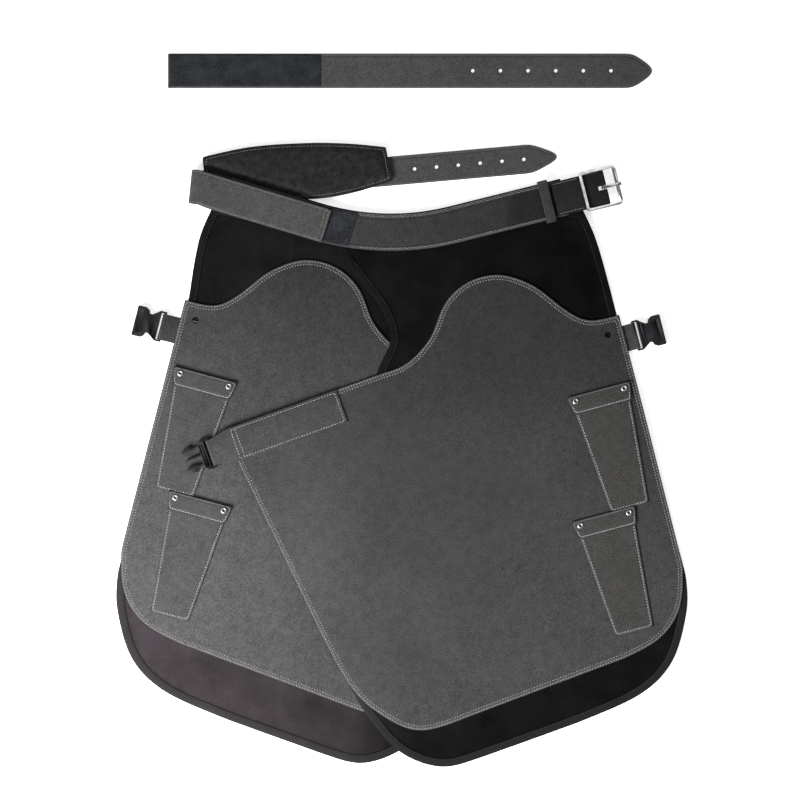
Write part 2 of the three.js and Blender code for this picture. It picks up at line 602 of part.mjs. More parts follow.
function insert() {
  const half = CLIP_WIDTH / 2;
  const armOut = INSERT_ARMS_WIDTH / 2;
  const tipX = INSERT_LENGTH;
  const body = sheet(mirroredOutline([[INSERT_BODY_END, half * 0.8], [INSERT_BODY_END - 3, half],
    [CLIP_SLOT, half]]), CLIP_T, -CLIP_T / 2);
  const arms = sheet(mirroredOutline([
    [tipX - 3, 0.01], [tipX - 3, 1.2], [tipX - 5, 1.8], [INSERT_BODY_END - 1, 1.8],
    [INSERT_BODY_END - 1, armOut - ARM_WIDTH - 1], [INSERT_BODY_END + 4, armOut - ARM_WIDTH],
    [tipX - 5, armOut - ARM_WIDTH - 2.5], [tipX - 1, armOut - ARM_WIDTH - 0.5], [tipX, armOut - 3],
    [tipX - 2, armOut - 0.6], [tipX - 9, armOut + BARB], [tipX - 11.5, armOut + BARB - 0.4],
    [tipX - 11.5, armOut - 1], [INSERT_BODY_END - 2, armOut],
  ]), CLIP_T * 0.64, -CLIP_T * 0.32);
  return join(body, arms, ...ladder(CLIP_T));
}

function receptacle() {
  const half = CLIP_WIDTH / 2;
  const waist = RECEPTACLE_WAIST / 2;
  const [mouthWidth, mouthDepth, mouthHeight] = RECEPTACLE_MOUTH;
  const end = RECEPTACLE_LENGTH;
  const body = sheet(mirroredOutline([[end, half - 1], [end - 1, half], [end - 9, half],
    [end - mouthDepth, half - 2.5], [end - mouthDepth - 1, waist + 0.5], [end - mouthDepth - 4, waist],
    [CLIP_SLOT + 5, waist + 3], [CLIP_SLOT + 1.5, half - 0.6], [CLIP_SLOT, half]]), RECEPTACLE_T,
  -RECEPTACLE_T / 2);
  const mouth = sheet(rectangle(mouthDepth + 1, mouthWidth, end - mouthDepth), mouthHeight,
    -mouthHeight / 2);
  const throat = sheet(rectangle(mouthDepth, waist * 1.2, end - 2 * mouthDepth + 4), mouthHeight,
    -mouthHeight / 2);
  return cut(join(body, ...ladder(RECEPTACLE_T)), mouth, throat);
}

// A strap end folded round a clip's bar: a flat tail at one height that runs into an eye.
function loopedStrap(tailLength, tailLow, tailHigh, eyeZ, flatEnd) {
  const section = new THREE.Shape();
  section.moveTo(-tailLength, tailLow);
  section.lineTo(-flatEnd, tailLow);
  section.lineTo(-TAB_R, eyeZ - TAB_R * 0.7);
  section.absarc(0, eyeZ, TAB_R, radians(-120), radians(120), false);
  section.lineTo(-flatEnd, tailHigh);
  section.lineTo(-tailLength, tailHigh);
  section.holes.push(new THREE.Path().absarc(0, eyeZ, CLIP_BAR_R + GAP, 0, 2 * Math.PI, true));
  return section;
}

const tongueEye = along(TONGUE_STRAP_END, 180 + TONGUE_ANGLE, TONGUE_STRAP_LENGTH);
const outerEye = along(OUTER_TAB_AT, OUTER_TAB_ANGLE, OUTER_TAB_OUT);

function onTongue(geometry) {
  return place(geometry, tongueEye, 180 + TONGUE_ANGLE);
}

function atOuterEdge(geometry) {
  return place(geometry, outerEye, OUTER_TAB_ANGLE);
}

function tongueStrap() {
  const low = RIGHT_LEATHER_Z + LEATHER_T + GAP;
  const flatEnd = TONGUE_STRAP_TAPER - 0.5;
  const section = loopedStrap(TONGUE_STRAP_LENGTH, low, low + STRAP_T - GAP, CLIP_Z, flatEnd);
  const half = TONGUE_STRAP_WIDTH / 2;
  const plan = mirroredOutline([[CUT_DEPTH, WEB_WIDTH / 2], [-TAB_R - 1, WEB_WIDTH / 2],
    [-TONGUE_STRAP_TAPER - 4, half], [-TONGUE_STRAP_LENGTH - 1, half]]);
  return onTongue(keepInside(crosswise(section, TONGUE_STRAP_WIDTH, 6), sheet(plan, CUT_DEPTH, 0)));
}

// The tab comes out from under the leather, beside the lining, and runs down to the clip on the table.
function outerTab(low) {
  const section = loopedStrap(OUTER_TAB_OUT + OUTER_TAB_IN, low, low + LINING_T, RECEPTACLE_Z,
    OUTER_TAB_OUT - 1);
  return atOuterEdge(crosswise(section, WEB_WIDTH, 6));
}

// The lining is notched round the tab's tail, which lies beside it under the leather.
function lining() {
  const tail = rectangle(CUT_DEPTH, WEB_WIDTH + 2 * GAP, -OUTER_TAB_OUT - OUTER_TAB_IN - GAP);
  const notch = atOuterEdge(sheet(tail, CUT_DEPTH, 0));
  return cut(sheet(liningShape(), LINING_T, RIGHT_LINING_Z, 4), notch);
}

function beyondHinge(geometry, above) {
  const side = above ? 1 : -1;
  const block = new THREE.BoxGeometry(CUT_DEPTH * 20, CUT_DEPTH * 10, CUT_DEPTH);
  return keepInside(geometry, block.translate(0, LEG_HINGE_Y + side * (CUT_DEPTH * 5 + GAP / 2), 0));
}

const LEG_DROP = RIGHT_LINING_Z - LEFT_LINING_Z;

// Adds a right-leg piece and its mirrored twin on the left leg.
function addPair(name, geometry, material, twin = geometry, drop = LEG_DROP, shift = LEFT_LEATHER_SHIFT) {
  addPiece(`right_${name}`, geometry, material);
  addPiece(`left_${name}`, mirrored(twin, shift, drop), material);
}

addPiece("right_lining_top", beyondHinge(lining(), true), "cloth");
addPiece("right_lining", beyondHinge(lining(), false), "cloth");
addPair("leather", legLeather(), "grey_leather");
["upper", "lower"].forEach((level, index) => {
  addPair(`${level}_pouch`, pouchPanel(index), "grey_leather");
  addPair(`${level}_pouch_band`, pouchBand(index), "grey_leather");
  ["inner", "outer"].forEach((side, which) => {
    addPair(`${level}_rivet_${side}`, rivet(index, RIVET_SPOTS[which]), "steel");
  });
});
addPair("tongue_strap", tongueStrap(), "grey_leather");
addPair("tongue_clip_insert", onTongue(insert().translate(0, 0, CLIP_Z)), "plastic");
addPair("outer_tab", outerTab(RIGHT_LINING_Z), "grey_leather", outerTab(LEFT_LINING_Z), 0, LEFT_CLIP_SHIFT);
const clip = atOuterEdge(receptacle().translate(0, 0, RECEPTACLE_Z));
addPair("outer_clip_receptacle", clip, "plastic", clip, 0, LEFT_CLIP_SHIFT);

// The left lining hangs a little lower against its leather than the right one does, so its notch is cut
// where the left tab really lies.
function leftLining() {
  const whole = mirrored(sheet(liningShape(), LINING_T, RIGHT_LINING_Z, 4), LEFT_LINING_SHIFT, LEG_DROP);
  const tail = rectangle(CUT_DEPTH, WEB_WIDTH + 2 * GAP, -OUTER_TAB_OUT - OUTER_TAB_IN - GAP);
  const notch = mirrored(atOuterEdge(sheet(tail, CUT_DEPTH, 0)), LEFT_CLIP_SHIFT, LEG_DROP);
  return cut(whole, notch);
}

addPiece("left_lining", leftLining(), "cloth");

export default group;
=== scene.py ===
"""Split-leg work apron laid flat with its face up: belt, buckle, back strap, pad, legs and loose strap.

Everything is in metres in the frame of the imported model, with +Z up out of the apron's face.
"""

import json
import logging
import math
from dataclasses import dataclass, field
from enum import Enum
from typing import Callable, Optional, Sequence

import bpy
import numpy as np
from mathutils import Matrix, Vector, geometry, noise
from mathutils.bvhtree import BVHTree


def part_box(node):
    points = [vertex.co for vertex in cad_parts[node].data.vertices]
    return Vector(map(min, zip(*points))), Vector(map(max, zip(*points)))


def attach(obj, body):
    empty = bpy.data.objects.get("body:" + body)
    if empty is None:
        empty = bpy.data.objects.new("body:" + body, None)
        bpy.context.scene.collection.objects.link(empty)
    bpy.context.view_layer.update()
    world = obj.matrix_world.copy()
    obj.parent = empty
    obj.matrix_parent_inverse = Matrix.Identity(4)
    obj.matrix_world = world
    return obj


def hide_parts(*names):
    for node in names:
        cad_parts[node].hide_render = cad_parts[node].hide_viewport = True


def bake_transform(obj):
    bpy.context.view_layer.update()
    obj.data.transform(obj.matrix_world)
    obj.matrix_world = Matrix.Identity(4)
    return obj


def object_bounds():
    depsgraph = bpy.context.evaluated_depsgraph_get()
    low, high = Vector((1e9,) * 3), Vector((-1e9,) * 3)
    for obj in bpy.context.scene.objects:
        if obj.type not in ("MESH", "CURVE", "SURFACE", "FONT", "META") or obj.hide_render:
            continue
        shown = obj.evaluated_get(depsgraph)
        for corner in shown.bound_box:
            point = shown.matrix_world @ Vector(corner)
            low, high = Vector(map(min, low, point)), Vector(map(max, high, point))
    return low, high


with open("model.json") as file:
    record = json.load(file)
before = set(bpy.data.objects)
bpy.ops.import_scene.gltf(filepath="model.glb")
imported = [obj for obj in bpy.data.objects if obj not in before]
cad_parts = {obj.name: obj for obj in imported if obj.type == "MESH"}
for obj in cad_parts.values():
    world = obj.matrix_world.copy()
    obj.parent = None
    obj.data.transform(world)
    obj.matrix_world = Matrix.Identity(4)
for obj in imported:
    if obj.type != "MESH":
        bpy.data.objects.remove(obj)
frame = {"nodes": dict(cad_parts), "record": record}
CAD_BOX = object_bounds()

MM = 0.001
LOG = logging.getLogger("apron")

Height = Callable[[np.ndarray], np.ndarray]


class Side(Enum):
    """Which leg a piece belongs to, as the apron lies."""

    LEFT = "left"
    RIGHT = "right"


class StitchStyle(Enum):
    """How a seam's stitches run."""

    STRAIGHT = "straight"
    ZIGZAG = "zigzag"


# ---------------------------------------------------------------- bench tools


def clear_selection() -> None:
    """Leaves edit mode and deselects everything."""
    if bpy.context.object is not None and bpy.context.object.mode != "OBJECT":
        bpy.ops.object.mode_set(mode="OBJECT")
    bpy.ops.object.select_all(action="DESELECT")


def pick(piece: bpy.types.Object) -> None:
    """Makes one piece the only one selected, and the active one.

    Args:
        piece: The piece.
    """
    clear_selection()
    piece.select_set(True)
    bpy.context.view_layer.objects.active = piece


def apply_modifier(piece: bpy.types.Object, kind: str, **settings: object) -> None:
    """Adds a modifier to a piece and applies it.

    Args:
        piece: The object that the modifier works on.
        kind: Blender's name for the modifier's type.
        settings: Values for the modifier's own properties.
    """
    modifier = piece.modifiers.new(kind.title(), kind)
    for key, value in settings.items():
        setattr(modifier, key, value)
    pick(piece)
    bpy.ops.object.modifier_apply(modifier=modifier.name)


def smooth_shade(piece: bpy.types.Object, degrees: float = 40.0) -> None:
    """Shades a piece smooth, with edges sharper than the given angle kept crisp."""
    pick(piece)
    bpy.ops.object.shade_smooth_by_angle(angle=math.radians(degrees))


def make_object(name: str, vertices: np.ndarray, faces: Sequence[Sequence[int]],
                edges: Sequence[tuple[int, int]] = ()) -> bpy.types.Object:
    """Makes a mesh object from vertices, faces and loose edges.

    Args:
        name: The piece's name.
        vertices: One row of x, y and z for each vertex.
        faces: Vertex numbers of each face.
        edges: Vertex numbers of each loose edge.

    Returns:
        The new object, linked to the scene.
    """
    mesh = bpy.data.meshes.new(name)
    mesh.from_pydata([tuple(v) for v in vertices.tolist()], list(edges), faces)
    mesh.update()
    piece = bpy.data.objects.new(name, mesh)
    bpy.context.scene.collection.objects.link(piece)
    return piece


def points_of(piece: bpy.types.Object) -> np.ndarray:
    """Gives a mesh's vertices, one row each.

    Args:
        piece: The mesh object.

    Returns:
        One row of x, y and z for each vertex.
    """
    flat = np.zeros(len(piece.data.vertices) * 3)
    piece.data.vertices.foreach_get("co", flat)
    return flat.reshape(-1, 3)


def set_points(piece: bpy.types.Object, points: np.ndarray) -> None:
    """Puts a mesh's vertices at new places."""
    piece.data.vertices.foreach_set("co", points.ravel())
    piece.data.update()


def recalculate_normals(piece: bpy.types.Object) -> None:
    """Turns the faces of a closed mesh outwards.

    Args:
        piece: The closed mesh object.
    """
    pick(piece)
    bpy.ops.object.mode_set(mode="EDIT")
    bpy.ops.mesh.select_all(action="SELECT")
    bpy.ops.mesh.normals_make_consistent(inside=False)
    bpy.ops.object.mode_set(mode="OBJECT")


def merged_copy(node: str, name: str) -> bpy.types.Object:
    """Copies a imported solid, with its doubles merged and its flat faces made whole.

    Args:
        node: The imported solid's name.
        name: The copy's name.

    Returns:
        The copy, standing for the solid.
    """
    source = frame["nodes"][node]
    piece = bpy.data.objects.new(name, source.data.copy())
    bpy.context.scene.collection.objects.link(piece)
    piece.data.materials.clear()
    pick(piece)
    bpy.ops.object.mode_set(mode="EDIT")
    bpy.ops.mesh.select_all(action="SELECT")
    bpy.ops.mesh.remove_doubles(threshold=0.002 * MM)
    bpy.ops.mesh.dissolve_limited(angle_limit=math.radians(0.5))
    bpy.ops.object.mode_set(mode="OBJECT")
    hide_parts(node)
    return piece


# ---------------------------------------------------------------- outlines


def node_loops(node: str) -> list[np.ndarray]:
    """Finds the outlines of a flat solid's underside.

    Args:
        node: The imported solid's name.

    Returns:
        The loops, anticlockwise, the outer one first.
    """
    mesh = frame["nodes"][node].data
    keys: dict[tuple[int, int], int] = {}
    spots: list[tuple[float, float]] = []
    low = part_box(node)[0].z
    sides: dict[tuple[int, int], int] = {}
    for face in mesh.polygons:
        if face.normal.z > -0.9 or abs(mesh.vertices[face.vertices[0]].co.z - low) > 0.05 * MM:
            continue
        ids = []
        for index in face.vertices:
            place = mesh.vertices[index].co
            key = (round(place.x * 1e5), round(place.y * 1e5))
            if key not in keys:
                keys[key] = len(spots)
                spots.append((place.x, place.y))
            ids.append(keys[key])
        for start, end in zip(ids, ids[1:] + ids[:1]):
            sides[(start, end)] = sides.get((start, end), 0) + 1
    following = {a: b for (a, b) in sides if (b, a) not in sides}
    loops = []
    while following:
        start, here = following.popitem()
        loop = [start]
        while here != start:
            loop.append(here)
            here = following.pop(here)
        loops.append(np.array([spots[i] for i in loop])[::-1])
    return sorted(loops, key=lambda loop: -abs(area_of(loop)))


def area_of(loop: np.ndarray) -> float:
    """Gives a closed loop's area, positive when it runs anticlockwise."""
    nxt = np.roll(loop, -1, axis=0)
    return float(np.sum(loop[:, 0] * nxt[:, 1] - nxt[:, 0] * loop[:, 1]) / 2)


def walk(points: np.ndarray, spacing: float, closed: bool) -> np.ndarray:
    """Places points evenly along a line.

    Args:
        points: The line's own points.
        spacing: About how far apart the new ones are.
        closed: Whether the line runs back to its start.

    Returns:
        The new points. A closed line's start isn't repeated at its end.
    """
    line = np.vstack([points, points[:1]]) if closed else points
    steps = np.linalg.norm(np.diff(line, axis=0), axis=1)
    reach = np.concatenate([[0.0], np.cumsum(steps)])
    count = max(2, int(round(reach[-1] / spacing)))
    stops = np.linspace(0, reach[-1], count + 1)
    found = np.stack([np.interp(stops, reach, line[:, k]) for k in range(line.shape[1])], axis=1)
    return found[:-1] if closed else found


def even_loop(loop: np.ndarray, spacing: float, corner: float = 28.0, passes: int = 5) -> np.ndarray:
    """Spaces an outline's points evenly and rounds its facets, keeping its real corners.

    Args:
        loop: The closed outline.
        spacing: About how far apart the new points are.
        corner: The turn in degrees past which a point is a real corner.
        passes: How often the points are averaged with their neighbours.

    Returns:
        The new closed outline.
    """
    before = loop - np.roll(loop, 1, axis=0)
    after = np.roll(loop, -1, axis=0) - loop
    turn = np.arctan2(before[:, 0] * after[:, 1] - before[:, 1] * after[:, 0],
                      np.sum(before * after, axis=1))
    corners = np.flatnonzero(np.abs(turn) > math.radians(corner))
    if not len(corners):
        stretches = [walk(loop, spacing, True)]
        fixed = np.zeros(len(stretches[0]), bool)
    else:
        stretches = []
        for start, end in zip(corners, np.roll(corners, -1)):
            span = (end - start) % len(loop) or len(loop)
            stretches.append(walk(loop[(start + np.arange(span + 1)) % len(loop)], spacing, False)[:-1])
        fixed = np.concatenate([np.arange(len(s)) == 0 for s in stretches])
    found = np.vstack(stretches)
    for _ in range(passes):
        middle = (np.roll(found, 1, axis=0) + np.roll(found, -1, axis=0)) / 2
        found = np.where(fixed[:, None], found, (found + middle) / 2)
    return found


def depth_in(points: np.ndarray, loop: np.ndarray) -> np.ndarray:
    """Measures how far inside a closed outline each point lies.

    Args:
        points: Rows that start with x and y.
        loop: The closed outline.

    Returns:
        The distance to the outline, negative outside it.
    """
    ends = np.roll(loop, -1, axis=0)
    along = ends - loop
    length_squared = np.maximum(np.sum(along * along, axis=1), 1e-18)
    found = np.empty(len(points))
    for start in range(0, len(points), 2000):
        x = points[start:start + 2000, 0:1]
        y = points[start:start + 2000, 1:2]
        dx, dy = x - loop[:, 0], y - loop[:, 1]
        share = np.clip((dx * along[:, 0] + dy * along[:, 1]) / length_squared, 0, 1)
        gap = np.hypot(dx - share * along[:, 0], dy - share * along[:, 1]).min(axis=1)
        spans = (loop[:, 1] > y) != (ends[:, 1] > y)
        rise = np.where(np.abs(along[:, 1]) < 1e-12, 1e-12, along[:, 1])
        crossings = np.sum(spans & (dx < dy * along[:, 0] / rise), axis=1)
        found[start:start + 2000] = np.where(crossings % 2 == 1, gap, -gap)
    return found


def inward(loop: np.ndarray, distance: float, spacing: float) -> np.ndarray:
    """Draws a line that runs a fixed distance inside an outline.

    Args:
        loop: The closed outline, anticlockwise.
        distance: How far inside.
        spacing: About how far apart the line's points are.

    Returns:
        The closed line.
    """
    points = walk(loop, min(spacing, 1.5 * MM), True)
    run = np.roll(points, -1, axis=0) - np.roll(points, 1, axis=0)
    run /= np.maximum(np.linalg.norm(run, axis=1), 1e-9)[:, None]
    moved = points + distance * np.stack([-run[:, 1], run[:, 0]], axis=1)
    kept = moved[depth_in(moved, loop) > distance - 0.12 * MM]
    return walk(kept, spacing, True)


def smoothstep(low: float, high: float, value: np.ndarray) -> np.ndarray:
    """Rises smoothly from 0 at low to 1 at high."""
    share = np.clip((value - low) / (high - low), 0, 1)
    return share * share * (3 - 2 * share)


def turned(points: np.ndarray, degrees: float, origin: Sequence[float] = (0, 0)) -> np.ndarray:
    """Turns points about +Z and then moves them to an origin.

    Args:
        points: Rows that start with x and y.
        degrees: The turn, anticlockwise.
        origin: Where the turned origin is moved to.

    Returns:
        The moved points.
    """
    angle = math.radians(degrees)
    c, s = math.cos(angle), math.sin(angle)
    found = points.astype(float).copy()
    found[:, 0] = points[:, 0] * c - points[:, 1] * s + origin[0]
    found[:, 1] = points[:, 0] * s + points[:, 1] * c + origin[1]
    return found


def ripple(points: np.ndarray, wavelength: float, seed: float) -> np.ndarray:
    """Gives a smooth wander from 0 to 1 over the table, the same on each run."""
    return np.array([0.5 + 0.5 * noise.noise(Vector((x / wavelength, y / wavelength, seed)))
                     for x, y in points[:, :2]])


# ---------------------------------------------------------------- finishes


class Bench:
    """The node tree of one material, with short ways to add its nodes."""

    def __init__(self, name: str) -> None:
        """Starts an empty material with its shader and output.

        Args:
            name: The material's name.
        """
        self.material = bpy.data.materials.new(name)
        self.material.use_nodes = True
        self.tree = self.material.node_tree
        self.tree.nodes.clear()
        self.shader = self.add("ShaderNodeBsdfPrincipled")
        output = self.add("ShaderNodeOutputMaterial")
        self.tree.links.new(self.shader.outputs["BSDF"], output.inputs["Surface"])
        self.coords = self.add("ShaderNodeTexCoord").outputs["Object"]

    def add(self, kind: str, inputs: Optional[dict] = None, **props: object) -> bpy.types.Node:
        """Adds a node.

        Args:
            kind: The node's type.
            inputs: Values or sockets for its inputs, by name or number.
            props: Values for its own properties.

        Returns:
            The node.
        """
        node = self.tree.nodes.new(kind)
        for key, value in props.items():
            setattr(node, key, value)
        for key, value in (inputs or {}).items():
            self.put(node, key, value)
        return node

    def put(self, node: bpy.types.Node, key: object, value: object) -> None:
        """Links a socket to an input, or gives the input a value.

        Args:
            node: The node.
            key: The input's name or number.
            value: A value or a socket.
        """
        if isinstance(value, bpy.types.NodeSocket):
            self.tree.links.new(value, node.inputs[key])
        else:
            node.inputs[key].default_value = value

    def noise(self, per_metre: float, detail: float = 2.0, rough: float = 0.5) -> bpy.types.NodeSocket:
        """Adds a noise of about so many lumps a metre."""
        return self.add("ShaderNodeTexNoise", {"Vector": self.coords, "Scale": per_metre,
                                               "Detail": detail, "Roughness": rough}).outputs["Fac"]

    def cells(self, per_metre: float) -> bpy.types.NodeSocket:
        """Adds a pebbled grain of about so many cells a metre."""
        return self.add("ShaderNodeTexVoronoi", {"Vector": self.coords, "Scale": per_metre}
                        ).outputs["Distance"]

    def weave(self, per_metre: float, axis: str) -> bpy.types.NodeSocket:
        """Adds one set of a cloth's threads, running across an axis.

        Args:
            per_metre: How many threads there are in a metre.
            axis: The axis that they cross.

        Returns:
            The height of the threads.
        """
        return self.add("ShaderNodeTexWave", {"Vector": self.coords, "Scale": per_metre / 6.28,
                                              "Distortion": 0.6, "Detail": 1.0, "Detail Scale": 2.0},
                        wave_type="BANDS", bands_direction=axis).outputs["Fac"]

    def calc(self, operation: str, first: object, second: object = 0.0) -> bpy.types.NodeSocket:
        """Adds a sum."""
        return self.add("ShaderNodeMath", {0: first, 1: second}, operation=operation).outputs[0]

    def spread(self, value: object, low: float, high: float, to_low: float,
               to_high: float) -> bpy.types.NodeSocket:
        """Maps a value from one range to another, held at the ends."""
        return self.add("ShaderNodeMapRange", {"Value": value, "From Min": low, "From Max": high,
                                               "To Min": to_low, "To Max": to_high}).outputs[0]

    def blend(self, share: object, first: object, second: object,
              mode: str = "MIX") -> bpy.types.NodeSocket:
        """Mixes two colours.

        Args:
            share: How much of the second colour there is.
            first: The first colour.
            second: The second colour.
            mode: How they are mixed.

        Returns:
            The mixed colour.
        """
        node = self.add("ShaderNodeMix", {0: share}, data_type="RGBA", blend_type=mode)
        self.put(node, 6, first)
        self.put(node, 7, second)
        return node.outputs[2]

    def dip(self, distance: object, at: float, width: float) -> bpy.types.NodeSocket:
        """Gives 1 where a distance is near a value, falling to 0 a width away."""
        away = self.calc("ABSOLUTE", self.calc("SUBTRACT", distance, at))
        return self.spread(away, 0.0, width, 1.0, 0.0)

    def bump(self, height: object, depth: float, strength: float = 1.0,
             normal: Optional[bpy.types.NodeSocket] = None) -> bpy.types.NodeSocket:
        """Adds a bump of a height field.

        Args:
            height: The height field.
            depth: How deep it is, in metres.
            strength: How strongly it shows.
            normal: The normal that it is added to, or None.

        Returns:
            The new normal.
        """
        inputs = {"Height": height, "Distance": depth, "Strength": strength}
        if normal is not None:
            inputs["Normal"] = normal
        return self.add("ShaderNodeBump", inputs).outputs["Normal"]

    def finish(self, **sockets: object) -> bpy.types.Material:
        """Sets the shader's sockets, with spaces in their names written as underscores.

        Args:
            sockets: Values or sockets for the shader.

        Returns:
            The finished material.
        """
        for key, value in sockets.items():
            self.put(self.shader, key.replace("_", " "), value)
        return self.material


def rgb(red: float, green: float, blue: float) -> tuple[float, float, float, float]:
    """Gives an opaque colour."""
    return (red, green, blue, 1.0)


@dataclass(frozen=True)
class Leather:
    """Matt split leather: mottled colour, fine grain, and creases and worn edges along its outline.

    Distances from the outline are in millimetres, and places across the apron in metres. A shade is
    what the colour is multiplied by, and a shaded stretch gives where it starts and ends and the
    shade at each end. The stretches up and across are painted light and shade for how the light
    falls over the apron, the tucked tail is painted shadow, and the creases and the cut edge carry
    painted shade.

    Attributes:
        name: The material's name.
        slot: The record's material slot.
        dark: The mottle's dark colour.
        light: The mottle's light colour.
        edge: The colour of the rubbed edge.
        creases: How far from the outline each pressed crease runs, darkened there with painted shade.
        border: How wide the faintly rubbed border is.
        roughness: The surface's middle roughness.
        edged: Whether the piece carries its distance from the outline.
        up: The painted shade from hem to belt, darker towards the belt where less light falls.
        across: The painted light and shade from left to right, lighter to the left and darker to the right.
        tip: The shade past the keeper, at the buckle's end.
        tucked: The distance from the middle within which a strap's tail is under leather and painted nearly
            black as its shadow, or 0.
    """

    name: str
    slot: str
    dark: tuple[float, float, float, float]
    light: tuple[float, float, float, float]
    edge: tuple[float, float, float, float]
    creases: tuple[float, ...] = ()
    border: float = 4.0
    roughness: float = 0.78
    edged: bool = True
    up: tuple[float, float, float, float] = (-0.12, 0.15, 1.0, 0.80)
    across: tuple[float, float, float, float] = (-0.06, 0.15, 1.0, 1.0)
    tucked: float = 0.0
    tip: float = 1.0

    def material(self) -> bpy.types.Material:
        """Builds the material.

        Returns:
            The material.
        """
        bench = Bench(self.name)
        broad = bench.noise(9.0, 2.0)
        mottle = bench.noise(110.0, 3.0, 0.6)
        grain = bench.noise(760.0, 4.0, 0.8)
        pebble = bench.cells(620.0)
        tone = bench.calc("ADD", bench.calc("MULTIPLY", mottle, 0.14), bench.calc("MULTIPLY", grain, 0.86))
        tone = bench.calc("ADD", tone, bench.calc("MULTIPLY", broad, 0.12))
        colour = bench.blend(bench.spread(tone, 0.455, 0.685, 0.0, 1.0), self.dark, self.light)
        place = bench.add("ShaderNodeSeparateXYZ", {"Vector": bench.coords}).outputs
        # Painted light and shade: darker towards the belt and the right, lighter towards the left, as the
        # light falls.
        shade = bench.calc("MULTIPLY", bench.spread(place["Y"], *self.up),
                           bench.spread(place["X"], *self.across))
        shade = bench.calc("MULTIPLY", shade, bench.spread(place["X"], 0.112, 0.126, 1.0, self.tip))
        if self.tucked:
            # Painted shadow: the tail under the leg leather goes nearly black.
            out = bench.calc("ABSOLUTE", place["X"])
            shade = bench.calc("MULTIPLY", shade, bench.spread(out, self.tucked - 8 * MM, self.tucked,
                                                               0.06, 1.0))
        colour = bench.blend(1.0, colour, shade, "MULTIPLY")
        height = bench.calc("ADD", bench.calc("MULTIPLY", grain, 0.6), bench.calc("MULTIPLY", pebble, 0.5))
        normal = bench.bump(height, 0.22 * MM, 0.75)
        if self.edged:
            rim = bench.add("ShaderNodeAttribute", attribute_name="rim").outputs["Fac"]
            colour = bench.blend(bench.spread(rim, 1.0, self.border, 0.30, 0.0), colour, self.edge)
            worn = bench.calc("MULTIPLY", bench.spread(rim, 0.9, 2.2, 0.65, 0.0),
                              bench.spread(mottle, 0.3, 0.6, 0.5, 1.0))
            colour = bench.blend(worn, colour, self.edge)
            # Painted shade: a near-black line along the cut edge.
            colour = bench.blend(bench.spread(rim, 0.35, 0.95, 0.85, 0.0), colour, PAINTED_EDGE_SHADE)
            groove: object = 0.0
            for crease in self.creases:
                groove = bench.calc("ADD", groove, bench.dip(rim, crease, 0.9))
            if self.creases:
                # Painted shade: the creases are darkened towards the dark mottle colour.
                colour = bench.blend(bench.calc("MULTIPLY", groove, 0.35), colour, self.dark)
                normal = bench.bump(bench.calc("MULTIPLY", groove, -1.0), 0.45 * MM, 0.8, normal)
        return bench.finish(Base_Color=colour, Normal=normal, Specular_IOR_Level=0.2,
                            Roughness=bench.spread(mottle, 0.3, 0.7, self.roughness + 0.07,
                                                   self.roughness - 0.07))


@dataclass(frozen=True)
class Suede:
    """Dark brushed suede with soft blotches where the nap lies one way or the other."""

    name: str = "Pad_Suede"
    slot: str = "suede"

    def material(self) -> bpy.types.Material:
        """Builds the material.

        Returns:
            The material.
        """
        bench = Bench(self.name)
        blotch = bench.noise(150.0, 5.0, 0.72)
        nap = bench.noise(1100.0, 3.0, 0.7)
        tone = bench.calc("ADD", bench.calc("MULTIPLY", blotch, 0.7), bench.calc("MULTIPLY", nap, 0.3))
        colour = bench.blend(bench.spread(tone, 0.38, 0.62, 0.0, 1.0), rgb(0.0050, 0.0052, 0.0052),
                             rgb(0.0225, 0.0225, 0.0220))
        return bench.finish(Base_Color=colour, Roughness=0.95, Specular_IOR_Level=0.08,
                            Sheen_Weight=0.12, Sheen_Roughness=0.5,
                            Normal=bench.bump(tone, 0.5 * MM, 0.8))


